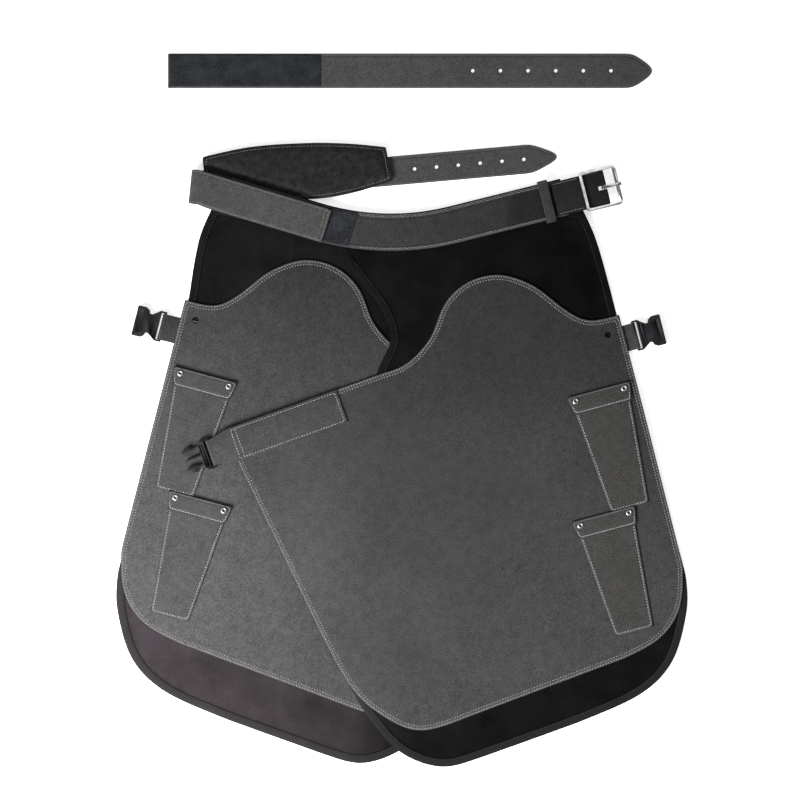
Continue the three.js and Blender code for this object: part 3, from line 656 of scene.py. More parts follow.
@dataclass(frozen=True)
class LiningCloth:
    """Black woven cloth with painted purplish-grey sheen at lower left, painted shade to the right, grey
    hem.

    Attributes:
        name: The material's name.
        slot: The record's material slot.
        hem: The turned hem's width in millimetres.
    """

    name: str = "Lining_Cloth"
    slot: str = "lining_cloth"
    hem: float = 8.7

    def material(self) -> bpy.types.Material:
        """Builds the material.

        Returns:
            The material.
        """
        bench = Bench(self.name)
        threads = bench.calc("ADD", bench.weave(1500.0, "X"), bench.weave(1500.0, "Y"))
        cloud = bench.noise(26.0, 4.0, 0.6)
        fluff = bench.noise(700.0, 2.0, 0.6)
        tone = bench.calc("ADD", bench.calc("MULTIPLY", cloud, 0.7), bench.calc("MULTIPLY", fluff, 0.3))
        colour = bench.blend(bench.spread(tone, 0.35, 0.65, 0.0, 1.0), rgb(0.0045, 0.0044, 0.0043),
                             rgb(0.0110, 0.0107, 0.0106))
        place = bench.add("ShaderNodeSeparateXYZ", {"Vector": bench.coords})
        # Painted sheen: a purplish grey where the light glances off the cloth at the lower left, none
        # towards the right and the top.
        painted_sheen_share = bench.calc("MULTIPLY", bench.spread(place.outputs["X"], -0.28, -0.06, 1.0, 0.55),
                            bench.spread(place.outputs["X"], -0.06, 0.0, 1.0, 0.07))
        painted_sheen_share = bench.calc("MULTIPLY", painted_sheen_share, bench.spread(place.outputs["Y"], -0.15, 0.02, 1.0, 0.0))
        painted_sheen_colour = bench.blend(bench.spread(tone, 0.35, 0.65, 0.0, 1.0), rgb(0.028, 0.0235, 0.0262),
                            rgb(0.050, 0.0420, 0.0465))
        # Painted shade: darker towards the right.
        shade = bench.spread(place.outputs["X"], -0.12, 0.10, 1.0, 0.5)
        colour = bench.blend(1.0, colour, shade, "MULTIPLY")
        colour = bench.blend(painted_sheen_share, colour, painted_sheen_colour)
        rim = bench.add("ShaderNodeAttribute", attribute_name="rim").outputs["Fac"]
        # Lighter grey along the hem, more so towards the bottom.
        hem = bench.spread(rim, self.hem - 0.4, self.hem + 0.2, 0.75, 0.0)
        hem = bench.calc("MULTIPLY", hem, bench.spread(place.outputs["Y"], -0.22, -0.02, 0.62, 0.08))
        colour = bench.blend(hem, colour, rgb(0.027, 0.0280, 0.0285))
        # Painted shadow: a near-black line just inside the raised hem.
        colour = bench.blend(bench.dip(rim, self.hem + 0.4, 0.7), colour, rgb(0.002, 0.002, 0.002))
        height = bench.calc("ADD", bench.calc("MULTIPLY", threads, 0.4), fluff)
        return bench.finish(Base_Color=colour, Roughness=0.8, Specular_IOR_Level=0.01,
                            Normal=bench.bump(height, 0.18 * MM, 0.6))


@dataclass(frozen=True)
class HookLoop:
    """Blue-black fastening tape with a fuzzy, speckled face."""

    name: str = "Hook_And_Loop"
    slot: str = "hook_loop"

    def material(self) -> bpy.types.Material:
        """Builds the material.

        Returns:
            The material.
        """
        bench = Bench(self.name)
        fuzz = bench.noise(900.0, 4.0, 0.8)
        loops = bench.cells(750.0)
        worn = bench.noise(60.0, 3.0, 0.6)
        tone = bench.calc("ADD", bench.calc("MULTIPLY", fuzz, 0.75), bench.calc("MULTIPLY", worn, 0.25))
        colour = bench.blend(bench.spread(tone, 0.42, 0.62, 0.0, 1.0), rgb(0.0035, 0.0038, 0.0048),
                             rgb(0.040, 0.0435, 0.052))
        height = bench.calc("ADD", fuzz, bench.calc("MULTIPLY", loops, 0.6))
        return bench.finish(Base_Color=colour, Roughness=0.9, Specular_IOR_Level=0.12,
                            Sheen_Weight=0.1, Sheen_Roughness=0.5,
                            Normal=bench.bump(height, 0.6 * MM, 0.9))


@dataclass(frozen=True)
class ClipPlastic:
    """Black moulded plastic, finely spark-textured and half matt."""

    name: str = "Clip_Plastic"
    slot: str = "plastic"

    def material(self) -> bpy.types.Material:
        """Builds the material.

        Returns:
            The material.
        """
        bench = Bench(self.name)
        spark = bench.noise(1800.0, 2.0, 0.6)
        scuff = bench.noise(90.0, 4.0, 0.7)
        colour = bench.blend(bench.spread(scuff, 0.4, 0.75, 0.0, 1.0), rgb(0.0075, 0.0080, 0.0090),
                             rgb(0.0180, 0.0190, 0.0210))
        return bench.finish(Base_Color=colour, Roughness=bench.spread(scuff, 0.35, 0.7, 0.42, 0.56),
                            Specular_IOR_Level=0.20,
                            Normal=bench.bump(spark, 0.06 * MM, 0.5))


@dataclass(frozen=True)
class Nickel:
    """Bright nickel plate with faint polishing marks and duller patches."""

    name: str = "Nickel_Plate"
    slot: str = "steel"
    roughness: float = 0.18

    def material(self) -> bpy.types.Material:
        """Builds the material.

        Returns:
            The material.
        """
        bench = Bench(self.name)
        marks = bench.noise(420.0, 4.0, 0.7)
        dull = bench.noise(80.0, 3.0, 0.6)
        colour = bench.blend(bench.spread(dull, 0.35, 0.7, 0.0, 1.0), rgb(0.50, 0.485, 0.47),
                             rgb(0.32, 0.305, 0.295))
        return bench.finish(Base_Color=colour, Metallic=1.0,
                            Roughness=bench.spread(dull, 0.35, 0.7, self.roughness, self.roughness + 0.14),
                            Normal=bench.bump(marks, 0.03 * MM, 0.35))


@dataclass(frozen=True)
class Thread:
    """Twisted sewing thread."""

    name: str
    light: tuple[float, float, float, float]
    dark: tuple[float, float, float, float]

    def material(self) -> bpy.types.Material:
        """Builds the material.

        Returns:
            The material.
        """
        bench = Bench(self.name)
        twist = bench.noise(2200.0, 2.0, 0.6)
        worn = bench.noise(150.0, 3.0, 0.6)
        tone = bench.calc("ADD", bench.calc("MULTIPLY", twist, 0.5), bench.calc("MULTIPLY", worn, 0.5))
        colour = bench.blend(bench.spread(tone, 0.35, 0.65, 0.0, 1.0), self.dark, self.light)
        return bench.finish(Base_Color=colour, Roughness=0.7, Normal=bench.bump(twist, 0.1 * MM, 0.6))


LEATHER_EDGE = rgb(0.135, 0.131, 0.131)
# Painted shade for the dark line along the leather's cut edges.
PAINTED_EDGE_SHADE = rgb(0.010, 0.010, 0.010)
# Painted light and shade: the left leg leather is a lighter copy of the one grey leather and the right a
# darker one, as the light falls.
LEG_LEATHERS = {
    Side.RIGHT: Leather("Right_Leg_Leather", "grey_leather", rgb(0.020, 0.0195, 0.0194),
                        rgb(0.064, 0.0625, 0.0622), LEATHER_EDGE, (2.2, 5.2), 7.0,
                        up=(-0.19, 0.15, 1.0, 0.50), across=(-0.11, 0.0, 1.42, 0.95)),
    Side.LEFT: Leather("Left_Leg_Leather", "grey_leather", rgb(0.031, 0.0305, 0.0310),
                       rgb(0.093, 0.091, 0.0920), LEATHER_EDGE, (2.2, 5.2), 7.0,
                       up=(-0.12, 0.15, 1.0, 0.45), across=(-0.21, -0.10, 1.10, 0.82))}
# Painted light and shade: the left pouch leather is a lighter copy of the one grey leather and the right a
# darker one, as the light falls.
POUCH_LEATHERS = {
    Side.RIGHT: Leather("Right_Pouch_Leather", "grey_leather", rgb(0.020, 0.0195, 0.0185),
                        rgb(0.062, 0.060, 0.0575), LEATHER_EDGE, (2.4,), up=(-0.12, 0.15, 1.0, 0.9)),
    Side.LEFT: Leather("Left_Pouch_Leather", "grey_leather", rgb(0.030, 0.0295, 0.0288),
                       rgb(0.086, 0.084, 0.0825), LEATHER_EDGE, (2.4,), up=(-0.12, 0.15, 1.0, 0.7))}
STRAP_LEATHER = Leather("Strap_Leather", "grey_leather", rgb(0.032, 0.0315, 0.0315),
                        rgb(0.089, 0.0868, 0.0868), rgb(0.095, 0.093, 0.093), (3.2,),
                        up=(-0.12, 0.15, 1.0, 0.9), across=(-0.06, 0.15, 1.0, 0.9))
# Painted shadow: the tab's tail, where it runs under the leg leather, is painted nearly black.
TAB_LEATHER = Leather("Tab_Leather", "grey_leather", rgb(0.022, 0.0215, 0.0215),
                      rgb(0.066, 0.0645, 0.0645), LEATHER_EDGE, edged=False, tucked=242 * MM)
TONGUE_LEATHER = Leather("Tongue_Leather", "grey_leather", rgb(0.026, 0.0255, 0.0258),
                         rgb(0.078, 0.0765, 0.077), LEATHER_EDGE, edged=False,
                         up=(-0.12, 0.15, 1.0, 0.9))
BELT_LEATHER = Leather("Belt_Leather", "grey_leather", rgb(0.015, 0.0145, 0.0143),
                       rgb(0.053, 0.0512, 0.0505), LEATHER_EDGE, (1.6, 5.0),
                       up=(-0.12, 0.15, 1.0, 0.95), across=(-0.06, 0.15, 1.0, 0.58), tip=0.5)
KEEPER_LEATHER = Leather("Keeper_Leather", "grey_leather", rgb(0.016, 0.016, 0.016),
                         rgb(0.060, 0.060, 0.059), LEATHER_EDGE, edged=False)
BLACK_LEATHER = Leather("Black_Leather", "black_leather", rgb(0.003, 0.003, 0.003),
                        rgb(0.014, 0.014, 0.014), rgb(0.05, 0.05, 0.05), edged=False, roughness=0.75)
PALE_THREAD = Thread("Pale_Thread", rgb(0.34, 0.325, 0.315), rgb(0.17, 0.162, 0.158))
BRIGHT_THREAD = Thread("Bright_Thread", rgb(0.50, 0.48, 0.47), rgb(0.26, 0.25, 0.245))
GREY_THREAD = Thread("Grey_Thread", rgb(0.24, 0.235, 0.23), rgb(0.12, 0.12, 0.12))
BLACK_THREAD = Thread("Black_Thread", rgb(0.022, 0.022, 0.024), rgb(0.008, 0.008, 0.009))
LINING = LiningCloth()
SUEDE = Suede()
HOOK_LOOP = HookLoop()
PLASTIC = ClipPlastic()
NICKEL = Nickel()
RIVET_NICKEL = Nickel("Rivet_Nickel", roughness=0.36)
_made: dict[str, bpy.types.Material] = {}


def dress(piece: bpy.types.Object, finish: object) -> None:
    """Gives a piece its finish, making the material the first time it is asked for.

    Args:
        piece: The piece.
        finish: Its finish.
    """
    if finish.name not in _made:
        _made[finish.name] = finish.material()
    piece.data.materials.clear()
    piece.data.materials.append(_made[finish.name])
    hasattr(finish, "slot")


# ---------------------------------------------------------------- seams


@dataclass
class Seam:
    """A row of stitches, modelled once as a single stitch and copied along a line."""

    pitch: float = 3.1 * MM
    length: float = 2.0 * MM
    radius: float = 0.48 * MM
    style: StitchStyle = StitchStyle.STRAIGHT
    swing: float = 1.4 * MM

    def stitch(self) -> tuple[np.ndarray, list[tuple[int, ...]]]:
        """Models one stitch along X.

        Returns:
            Its vertices and its faces.
        """
        clear_selection()
        bpy.ops.mesh.primitive_uv_sphere_add(segments=6, ring_count=4, radius=1.0)
        one = bpy.context.object
        bpy.ops.transform.rotate(value=math.pi / 2, orient_axis="Y", center_override=(0, 0, 0))
        bpy.ops.transform.resize(value=(self.length / 2, self.radius, self.radius))
        bpy.ops.object.transform_apply(location=True, rotation=True, scale=True)
        vertices = points_of(one)
        faces = [tuple(face.vertices) for face in one.data.polygons]
        bpy.data.objects.remove(one)
        return vertices, faces

    def sew(self, name: str, lines: Sequence[tuple[np.ndarray, bool]], onto: bpy.types.Object,
            finish: Thread, body: Optional[str]) -> bpy.types.Object:
        """Sews lines of stitches onto the upper face of a piece.

        Args:
            name: The name of the thread's object.
            lines: Each line's points on the table plane, and whether it is closed.
            onto: The piece that the stitches lie on.
            finish: The thread.
            body: The body that the thread rides on, or None when it bends with its sheet.

        Returns:
            All the stitches as one object.
        """
        unit, faces = self.stitch()
        tree = BVHTree.FromObject(onto, bpy.context.evaluated_depsgraph_get())
        placed: list[np.ndarray] = []
        for line, closed in lines:
            knots = walk(line, self.pitch, closed)
            ends = np.roll(knots, -1, axis=0) if closed else knots[1:]
            starts = knots if closed else knots[:-1]
            for index, (a, b) in enumerate(zip(starts, ends)):
                spot = self.lay(unit, a, b, index, tree)
                if spot is not None:
                    placed.append(spot)
        count = len(unit)
        all_faces = [tuple(i + count * k for i in face) for k in range(len(placed)) for face in faces]
        thread = make_object(name, np.vstack(placed), all_faces)
        thread.data.shade_smooth()
        dress(thread, finish)
        if body is not None:
            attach(thread, body)
        return thread

    def lay(self, unit: np.ndarray, start: np.ndarray, end: np.ndarray, index: int,
            tree: BVHTree) -> Optional[np.ndarray]:
        """Lays one stitch on the surface.

        Args:
            unit: The single stitch's vertices.
            start: Where the stitch's stretch of the line starts.
            end: Where it ends.
            index: The stitch's number, which sets the side that a zigzag leans to.
            tree: The surface that it lies on.

        Returns:
            The stitch's vertices in place, or None where there is no surface.
        """
        middle = (start + end) / 2
        hit, normal, _, _ = tree.ray_cast(Vector((middle[0], middle[1], 0.1)), Vector((0, 0, -1)))
        if hit is None or normal.z < 0.5:
            return None
        run = Vector((end[0] - start[0], end[1] - start[1], 0))
        if run.length < 1e-7:
            return None
        run.normalize()
        if self.style is StitchStyle.ZIGZAG:
            side = Vector((-run.y, run.x, 0)) * (1 if index % 2 else -1)
            run = (run * self.pitch + side * 2 * self.swing).normalized()
        run = (run - normal * run.dot(normal)).normalized()
        across = normal.cross(run)
        turn = np.array([run, across, normal])
        return unit @ turn + np.array(hit + normal * (0.12 * MM))


# ---------------------------------------------------------------- sheets


@dataclass
class Sheet:
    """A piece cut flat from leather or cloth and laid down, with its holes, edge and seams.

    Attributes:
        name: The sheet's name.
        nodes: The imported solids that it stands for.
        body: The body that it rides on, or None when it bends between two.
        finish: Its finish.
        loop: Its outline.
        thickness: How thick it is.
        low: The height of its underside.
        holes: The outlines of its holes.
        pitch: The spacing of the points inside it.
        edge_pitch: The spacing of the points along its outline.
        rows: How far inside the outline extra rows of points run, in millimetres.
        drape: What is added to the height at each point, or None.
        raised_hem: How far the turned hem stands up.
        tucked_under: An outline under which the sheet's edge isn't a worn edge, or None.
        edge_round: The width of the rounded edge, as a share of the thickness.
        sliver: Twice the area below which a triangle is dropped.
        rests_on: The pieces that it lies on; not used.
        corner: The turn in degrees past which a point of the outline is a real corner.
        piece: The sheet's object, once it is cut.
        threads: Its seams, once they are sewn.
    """

    name: str
    nodes: tuple[str, ...]
    body: Optional[str]
    finish: object
    loop: np.ndarray
    thickness: float
    low: float
    holes: list[np.ndarray] = field(default_factory=list)
    pitch: float = 5.0 * MM
    edge_pitch: float = 3.0 * MM
    rows: tuple[float, ...] = ()
    drape: Optional[Height] = None
    raised_hem: float = 0.0
    tucked_under: Optional[np.ndarray] = None
    edge_round: float = 0.45
    sliver: float = 1e-8
    rests_on: tuple[str, ...] = ("table",)
    corner: float = 28.0
    piece: bpy.types.Object = None
    threads: list[bpy.types.Object] = field(default_factory=list)

    def flat_points(self) -> tuple[np.ndarray, np.ndarray, list[tuple[int, int]]]:
        """Lays out the sheet's points on the table.

        Returns:
            The points, how far inside the outline each is, and the edges that the cut follows.
        """
        self.loop = even_loop(self.loop, self.edge_pitch, self.corner)
        loops = [self.loop, *self.holes]
        edges: list[tuple[int, int]] = []
        total = 0
        for loop in loops:
            numbers = list(range(total, total + len(loop)))
            edges += list(zip(numbers, numbers[1:] + numbers[:1]))
            total += len(loop)
        low, high = self.loop.min(axis=0), self.loop.max(axis=0)
        xs = np.arange(low[0] + self.pitch / 2, high[0], self.pitch)
        ys = np.arange(low[1] + self.pitch / 2, high[1], self.pitch * 0.866)
        grid_x, grid_y = np.meshgrid(xs, ys)
        grid_x = grid_x + (np.arange(len(ys)) % 2)[:, None] * self.pitch / 2
        grid = np.stack([grid_x.ravel(), grid_y.ravel()], axis=1)
        depth = depth_in(grid, self.loop)
        clear = depth > self.pitch * 0.55
        for row in self.rows:
            clear &= np.abs(depth - row * MM) > self.pitch * 0.35
        for hole in self.holes:
            clear &= depth_in(grid, hole) < -self.pitch * 0.4
        lines = [inward(self.loop, row * MM, self.edge_pitch) for row in self.rows]
        points = np.vstack([*loops, grid[clear], *lines])
        rim_loop = self.loop.copy()
        if self.tucked_under is not None:
            rim_loop[:, 1] += (depth_in(self.loop, self.tucked_under) > -2 * MM) * 15 * MM
        return points, depth_in(points, rim_loop), edges

    def cut(self) -> None:
        """Cuts the sheet: triangles inside its outline and outside its holes, given their thickness."""
        points, depth, edges = self.flat_points()
        found, _, faces, originals, _, _ = geometry.delaunay_2d_cdt(
            [Vector(p) for p in points], edges, [], 0, 1e-7)
        spots = np.array([tuple(p) for p in found])
        triangles = np.array([tuple(face) for face in faces])
        middles = spots[triangles].mean(axis=1)
        inside = depth_in(middles, self.loop) > 0
        for hole in self.holes:
            inside &= depth_in(middles, hole) < 0
        triangles = triangles[inside]
        a, b, c = (spots[triangles[:, k]] for k in range(3))
        turn = (b[:, 0] - a[:, 0]) * (c[:, 1] - a[:, 1]) - (b[:, 1] - a[:, 1]) * (c[:, 0] - a[:, 0])
        triangles = np.where((turn < 0)[:, None], triangles[:, ::-1], triangles)[np.abs(turn) > self.sliver]
        flat = np.column_stack([spots, np.zeros(len(spots))])
        self.piece = make_object(self.name, flat, triangles.tolist())
        rim = np.array([max(0.0, depth[ids[0]]) if ids else 0.0 for ids in originals]) / MM
        attribute = self.piece.data.attributes.new("rim", "FLOAT", "POINT")
        attribute.data.foreach_set("value", rim.astype(np.float32))
        pick(self.piece)
        bpy.ops.object.mode_set(mode="EDIT")
        bpy.ops.mesh.select_all(action="SELECT")
        bpy.ops.mesh.delete_loose()
        bpy.ops.object.mode_set(mode="OBJECT")
        apply_modifier(self.piece, "SOLIDIFY", thickness=self.thickness, offset=1.0)
        apply_modifier(self.piece, "BEVEL", width=self.thickness * self.edge_round, segments=2,
                       limit_method="ANGLE", angle_limit=math.radians(60))

    def lay(self) -> None:
        """Lays the sheet at its height, draped over what is under it."""
        points = points_of(self.piece)
        if self.raised_hem:
            rim = np.zeros(len(points))
            self.piece.data.attributes["rim"].data.foreach_get("value", rim)
            top = points[:, 2] > self.thickness * 0.75
            points[:, 2] += top * (rim < 8.7) * self.raised_hem
        points[:, 2] += self.low
        if self.drape is not None:
            points[:, 2] += self.drape(points)
        set_points(self.piece, points)

    def declare(self, held: str = "laid") -> None:
        """Measures the flat size the sheet was cut to, the smallest box its outline fits in, and keeps
        nothing of it.

        Args:
            held: How the sheet is held; not used.
        """
        width, length = smallest_box(self.loop)

    def build(self) -> bpy.types.Object:
        """Cuts, lays and dresses the sheet, and lets it ride on its body.

        Returns:
            The finished sheet, without its seams.
        """
        self.cut()
        self.lay()
        smooth_shade(self.piece, 50)
        dress(self.piece, self.finish)
        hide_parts(*self.nodes)
        if self.body is not None:
            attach(self.piece, self.body)
        return self.piece

    def seam(self, rows: Sequence[float], seam: Seam, finish: Thread,
             keep: Optional[Callable[[np.ndarray], np.ndarray]] = None, tag: str = "stitches") -> None:
        """Sews rows of stitches along the outline.

        Args:
            rows: How far inside the outline each row runs, in millimetres.
            seam: The stitches.
            finish: The thread.
            keep: Which points of a row are sewn, or None for all of them.
            tag: The end of the thread's name.
        """
        lines: list[tuple[np.ndarray, bool]] = []
        for row in rows:
            line = inward(self.loop, row * MM, 1.0 * MM)
            if keep is None:
                lines.append((line, True))
            else:
                lines += [(part, False) for part in runs_of(line, keep(line))]
        self.threads.append(seam.sew(f"{self.name}_{tag}", lines, self.piece, finish, self.body))


def smallest_box(loop: np.ndarray, step: float = 0.1) -> tuple[float, float]:
    """Finds the smallest rectangle, turned any way, that an outline fits in.

    Args:
        loop: The closed outline.
        step: How finely the turns are tried, in degrees.

    Returns:
        The rectangle's shorter and longer sides.
    """
    boxes = [sorted(np.ptp(turned(loop, angle), axis=0)) for angle in np.arange(0, 90, step)]
    width, length = min(boxes, key=lambda box: box[0] * box[1])
    return float(width), float(length)


def runs_of(line: np.ndarray, kept: np.ndarray) -> list[np.ndarray]:
    """Splits a closed line into the stretches that are kept.

    Args:
        line: The closed line's points.
        kept: Which of them are kept.

    Returns:
        The stretches, each of at least four points.
    """
    if kept.all():
        return [np.vstack([line, line[:1]])]
    start = int(np.flatnonzero(~kept)[0])
    line, kept = np.roll(line, -start, axis=0), np.roll(kept, -start)
    parts: list[np.ndarray] = []
    current: list[np.ndarray] = []
    for point, held in zip(line, kept):
        if held:
            current.append(point)
        elif current:
            parts.append(np.array(current))
            current = []
    if current:
        parts.append(np.array(current))
    return [part for part in parts if len(part) > 3]


def sheet_from(node: str, name: str, body: Optional[str], finish: object, **extra: object) -> Sheet:
    """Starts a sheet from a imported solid's outline, height and thickness.

    Args:
        node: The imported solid's name.
        name: The sheet's name.
        body: The body that it rides on.
        finish: Its finish.
        extra: More of the sheet's values.

    Returns:
        The sheet, not yet cut.
    """
    low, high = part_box(node)
    loop = node_loops(node)[0]
    return Sheet(name, (node,), body, finish, loop, high.z - low.z, low.z, **extra)


# ---------------------------------------------------------------- how the legs lie


@dataclass
class Drape:
    """A height field over the table: what holds a sheet up, with gentle slopes down from it."""

    slope: float
    pitch: float = 8.0 * MM
    margin: float = 30.0 * MM

    def __post_init__(self) -> None:
        """Starts with the bare table."""
        low, high = (np.array(corner)[:2] for corner in CAD_BOX[:2])
        self.start = low - self.margin
        self.shape = np.ceil((high + self.margin - self.start) / self.pitch).astype(int) + 1
        columns, rows = np.meshgrid(np.arange(self.shape[0]), np.arange(self.shape[1]), indexing="ij")
        self.spots = np.stack([columns.ravel(), rows.ravel()], axis=1) * self.pitch + self.start
        self.height = np.zeros(self.shape)

    def rest_on(self, loop: np.ndarray, height: float, spread: float = 0.0) -> None:
        """Raises what lies inside an outline, or within a spread of it, to a height."""
        inside = (depth_in(self.spots, loop) > -spread).reshape(self.shape)
        self.height = np.where(inside, np.maximum(self.height, height), self.height)

    def settle(self) -> None:
        """Slopes the sheet down from what holds it up, and softens the folds."""
        for _ in range(60):
            held = self.height.copy()
            for across in (-1, 0, 1):
                for up in (-1, 0, 1):
                    fall = self.slope * self.pitch * math.hypot(across, up)
                    held = np.maximum(held, np.roll(self.height, (across, up), (0, 1)) - fall)
            if np.allclose(held, self.height):
                break
            self.height = held
        for _ in range(3):
            total = sum(np.roll(self.height, (across, up), (0, 1))
                        for across in (-1, 0, 1) for up in (-1, 0, 1))
            self.height = total / 9

    def at(self, points: np.ndarray) -> np.ndarray:
        """Gives the height under each point.

        Args:
            points: Rows that start with x and y.

        Returns:
            The heights.
        """
        place = (points[:, :2] - self.start) / self.pitch
        cell = np.clip(np.floor(place).astype(int), 0, self.shape - 2)
        share = np.clip(place - cell, 0, 1)
        i, j = cell[:, 0], cell[:, 1]
        u, v = share[:, 0], share[:, 1]
        grid = self.height
        return (grid[i, j] * (1 - u) * (1 - v) + grid[i + 1, j] * u * (1 - v)
                + grid[i, j + 1] * (1 - u) * v + grid[i + 1, j + 1] * u * v)


def joined_lining_loop() -> np.ndarray:
    """Joins the right lining's two solids, which meet at the bend line, into one outline.

    Returns:
        The outline, anticlockwise.
    """
    upper = node_loops("right_lining_top")[0]
    lower = node_loops("right_lining")[0]
    parts = []
    for loop, at in ((upper, upper[:, 1].min()), (lower, lower[:, 1].max())):
        on_cut = np.abs(loop[:, 1] - at) < 0.05 * MM
        ends = (loop[on_cut, 0].min(), loop[on_cut, 0].max())
        kept = loop[~on_cut | np.isin(loop[:, 0], ends)]
        cut_ends = np.flatnonzero(np.isin(kept[:, 0], ends) & (np.abs(kept[:, 1] - at) < 0.05 * MM))
        first = cut_ends[0] if cut_ends[1] != cut_ends[0] + 1 else cut_ends[1]
        parts.append(np.roll(kept, -first, axis=0))
    return np.vstack(parts)


class Lay:
    """How the two legs lie: on the table, on each other, and up to the belt that they hang from."""

    def __init__(self) -> None:
        """Works out both legs' height fields."""
        self.belt = node_loops("belt_backing")[0]
        self.left_leather = node_loops("left_leather")[0]
        self.right_leather = node_loops("right_leather")[0]
        self.left_lining = self.flared(node_loops("left_lining")[0])
        self.right_lining = joined_lining_loop()
        self.right_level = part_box("right_lining")[0].z
        self.left_field = Drape(slope=0.13)
        self.left_field.rest_on(self.belt, 4.8 * MM, 6 * MM)
        self.left_field.settle()
        self.right_field = Drape(slope=0.05)
        self.right_field.rest_on(self.left_lining, 1.0 * MM, 4 * MM)
        self.right_field.rest_on(self.left_leather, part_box("left_leather")[1].z, 6 * MM)
        self.right_field.rest_on(self.belt, self.right_level, 10 * MM)
        for node in ("left_tongue_strap", "left_tongue_clip_insert"):
            self.right_field.rest_on(self.strap_line(node), self.right_level, 16 * MM)
        self.right_field.rest_on(self.strap_line("right_tongue_clip_insert"), self.right_level, 26 * MM)
        self.right_field.settle()

    @staticmethod
    def flared(loop: np.ndarray) -> np.ndarray:
        """Lets the left lining's free upper edge stand a little further out than its solid.

        Args:
            loop: The lining's outline.

        Returns:
            The wider outline.
        """
        found = loop.copy()
        share = smoothstep(90 * MM, 205 * MM, loop[:, 1]) * smoothstep(-120 * MM, -190 * MM, loop[:, 0])
        found[:, 0] -= share * 9 * MM
        return found

    @staticmethod
    def strap_line(node: str) -> np.ndarray:
        """Gives a thin outline down the middle of a slanting strap or clip.

        Args:
            node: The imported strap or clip.

        Returns:
            The thin outline, anticlockwise.
        """
        points = points_of(frame["nodes"][node])[:, :2]
        middle = points.mean(axis=0)
        _, _, axes = np.linalg.svd(points - middle, full_matrices=False)
        reach = (points - middle) @ axes[0]
        side = axes[1] * 2 * MM
        a, b = middle + axes[0] * reach.min(), middle + axes[0] * reach.max()
        loop = np.array([a - side, b - side, b + side, a + side])
        return loop if area_of(loop) > 0 else loop[::-1]

    def right_drop(self, points: np.ndarray) -> np.ndarray:
        """Gives how far the right leg lies below its level where little is under it."""
        return np.minimum(self.right_field.at(points) + 0.1 * MM - self.right_level, 0)

    def right_lining_height(self, points: np.ndarray) -> np.ndarray:
        """Adds soft waves to the right lining where it lies bare.

        Args:
            points: Rows that start with x and y.

        Returns:
            What is added to the height at each.
        """
        bare = smoothstep(4 * MM, 28 * MM, -depth_in(points, self.right_leather))
        bare = bare * smoothstep(2 * MM, 26 * MM, -depth_in(points, self.belt))
        waves = ripple(points, 42 * MM, 3.7) * 0.7 + ripple(points, 19 * MM, 8.1) * 0.3
        return self.right_drop(points) + bare * waves * 2.4 * MM

    def left_lining_height(self, points: np.ndarray) -> np.ndarray:
        """Lifts the left lining to the belt, and adds soft waves where it lies bare.

        Args:
            points: Rows that start with x and y.

        Returns:
            What is added to the height at each.
        """
        under_leather = smoothstep(-2 * MM, 16 * MM, -depth_in(points, self.left_leather))
        bare = smoothstep(4 * MM, 26 * MM, -depth_in(points, self.left_leather))
        bare = bare * smoothstep(6 * MM, 26 * MM, -depth_in(points, self.right_lining))
        bare = bare * smoothstep(2 * MM, 26 * MM, -depth_in(points, self.belt))
        waves = ripple(points, 40 * MM, 1.3) * 0.7 + ripple(points, 18 * MM, 5.9) * 0.3
        return self.left_field.at(points) * under_leather + bare * waves * 2.4 * MM


# ---------------------------------------------------------------- hard pieces


def rounded(node: str, name: str, finish: object, body: str, edge: float, segments: int = 2,
            degrees: float = 35.0, move: Optional[Callable[[np.ndarray], np.ndarray]] = None
            ) -> bpy.types.Object:
    """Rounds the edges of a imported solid's copy and dresses it.

    Args:
        node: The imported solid's name.
        name: The piece's name.
        finish: Its finish.
        body: The body that it rides on.
        edge: The width of the rounding.
        segments: How many steps the rounding has.
        degrees: The angle past which an edge is rounded.
        move: A change of the copy's points, such as a drape, or None.

    Returns:
        The finished piece.
    """
    piece = merged_copy(node, name)
    apply_modifier(piece, "BEVEL", width=edge, segments=segments, limit_method="ANGLE",
                   angle_limit=math.radians(degrees), use_clamp_overlap=True)
    if move is not None:
        set_points(piece, move(points_of(piece)))
    smooth_shade(piece, 40)
    dress(piece, finish)
    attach(piece, body)
    return piece


# ---------------------------------------------------------------- sub-assemblies


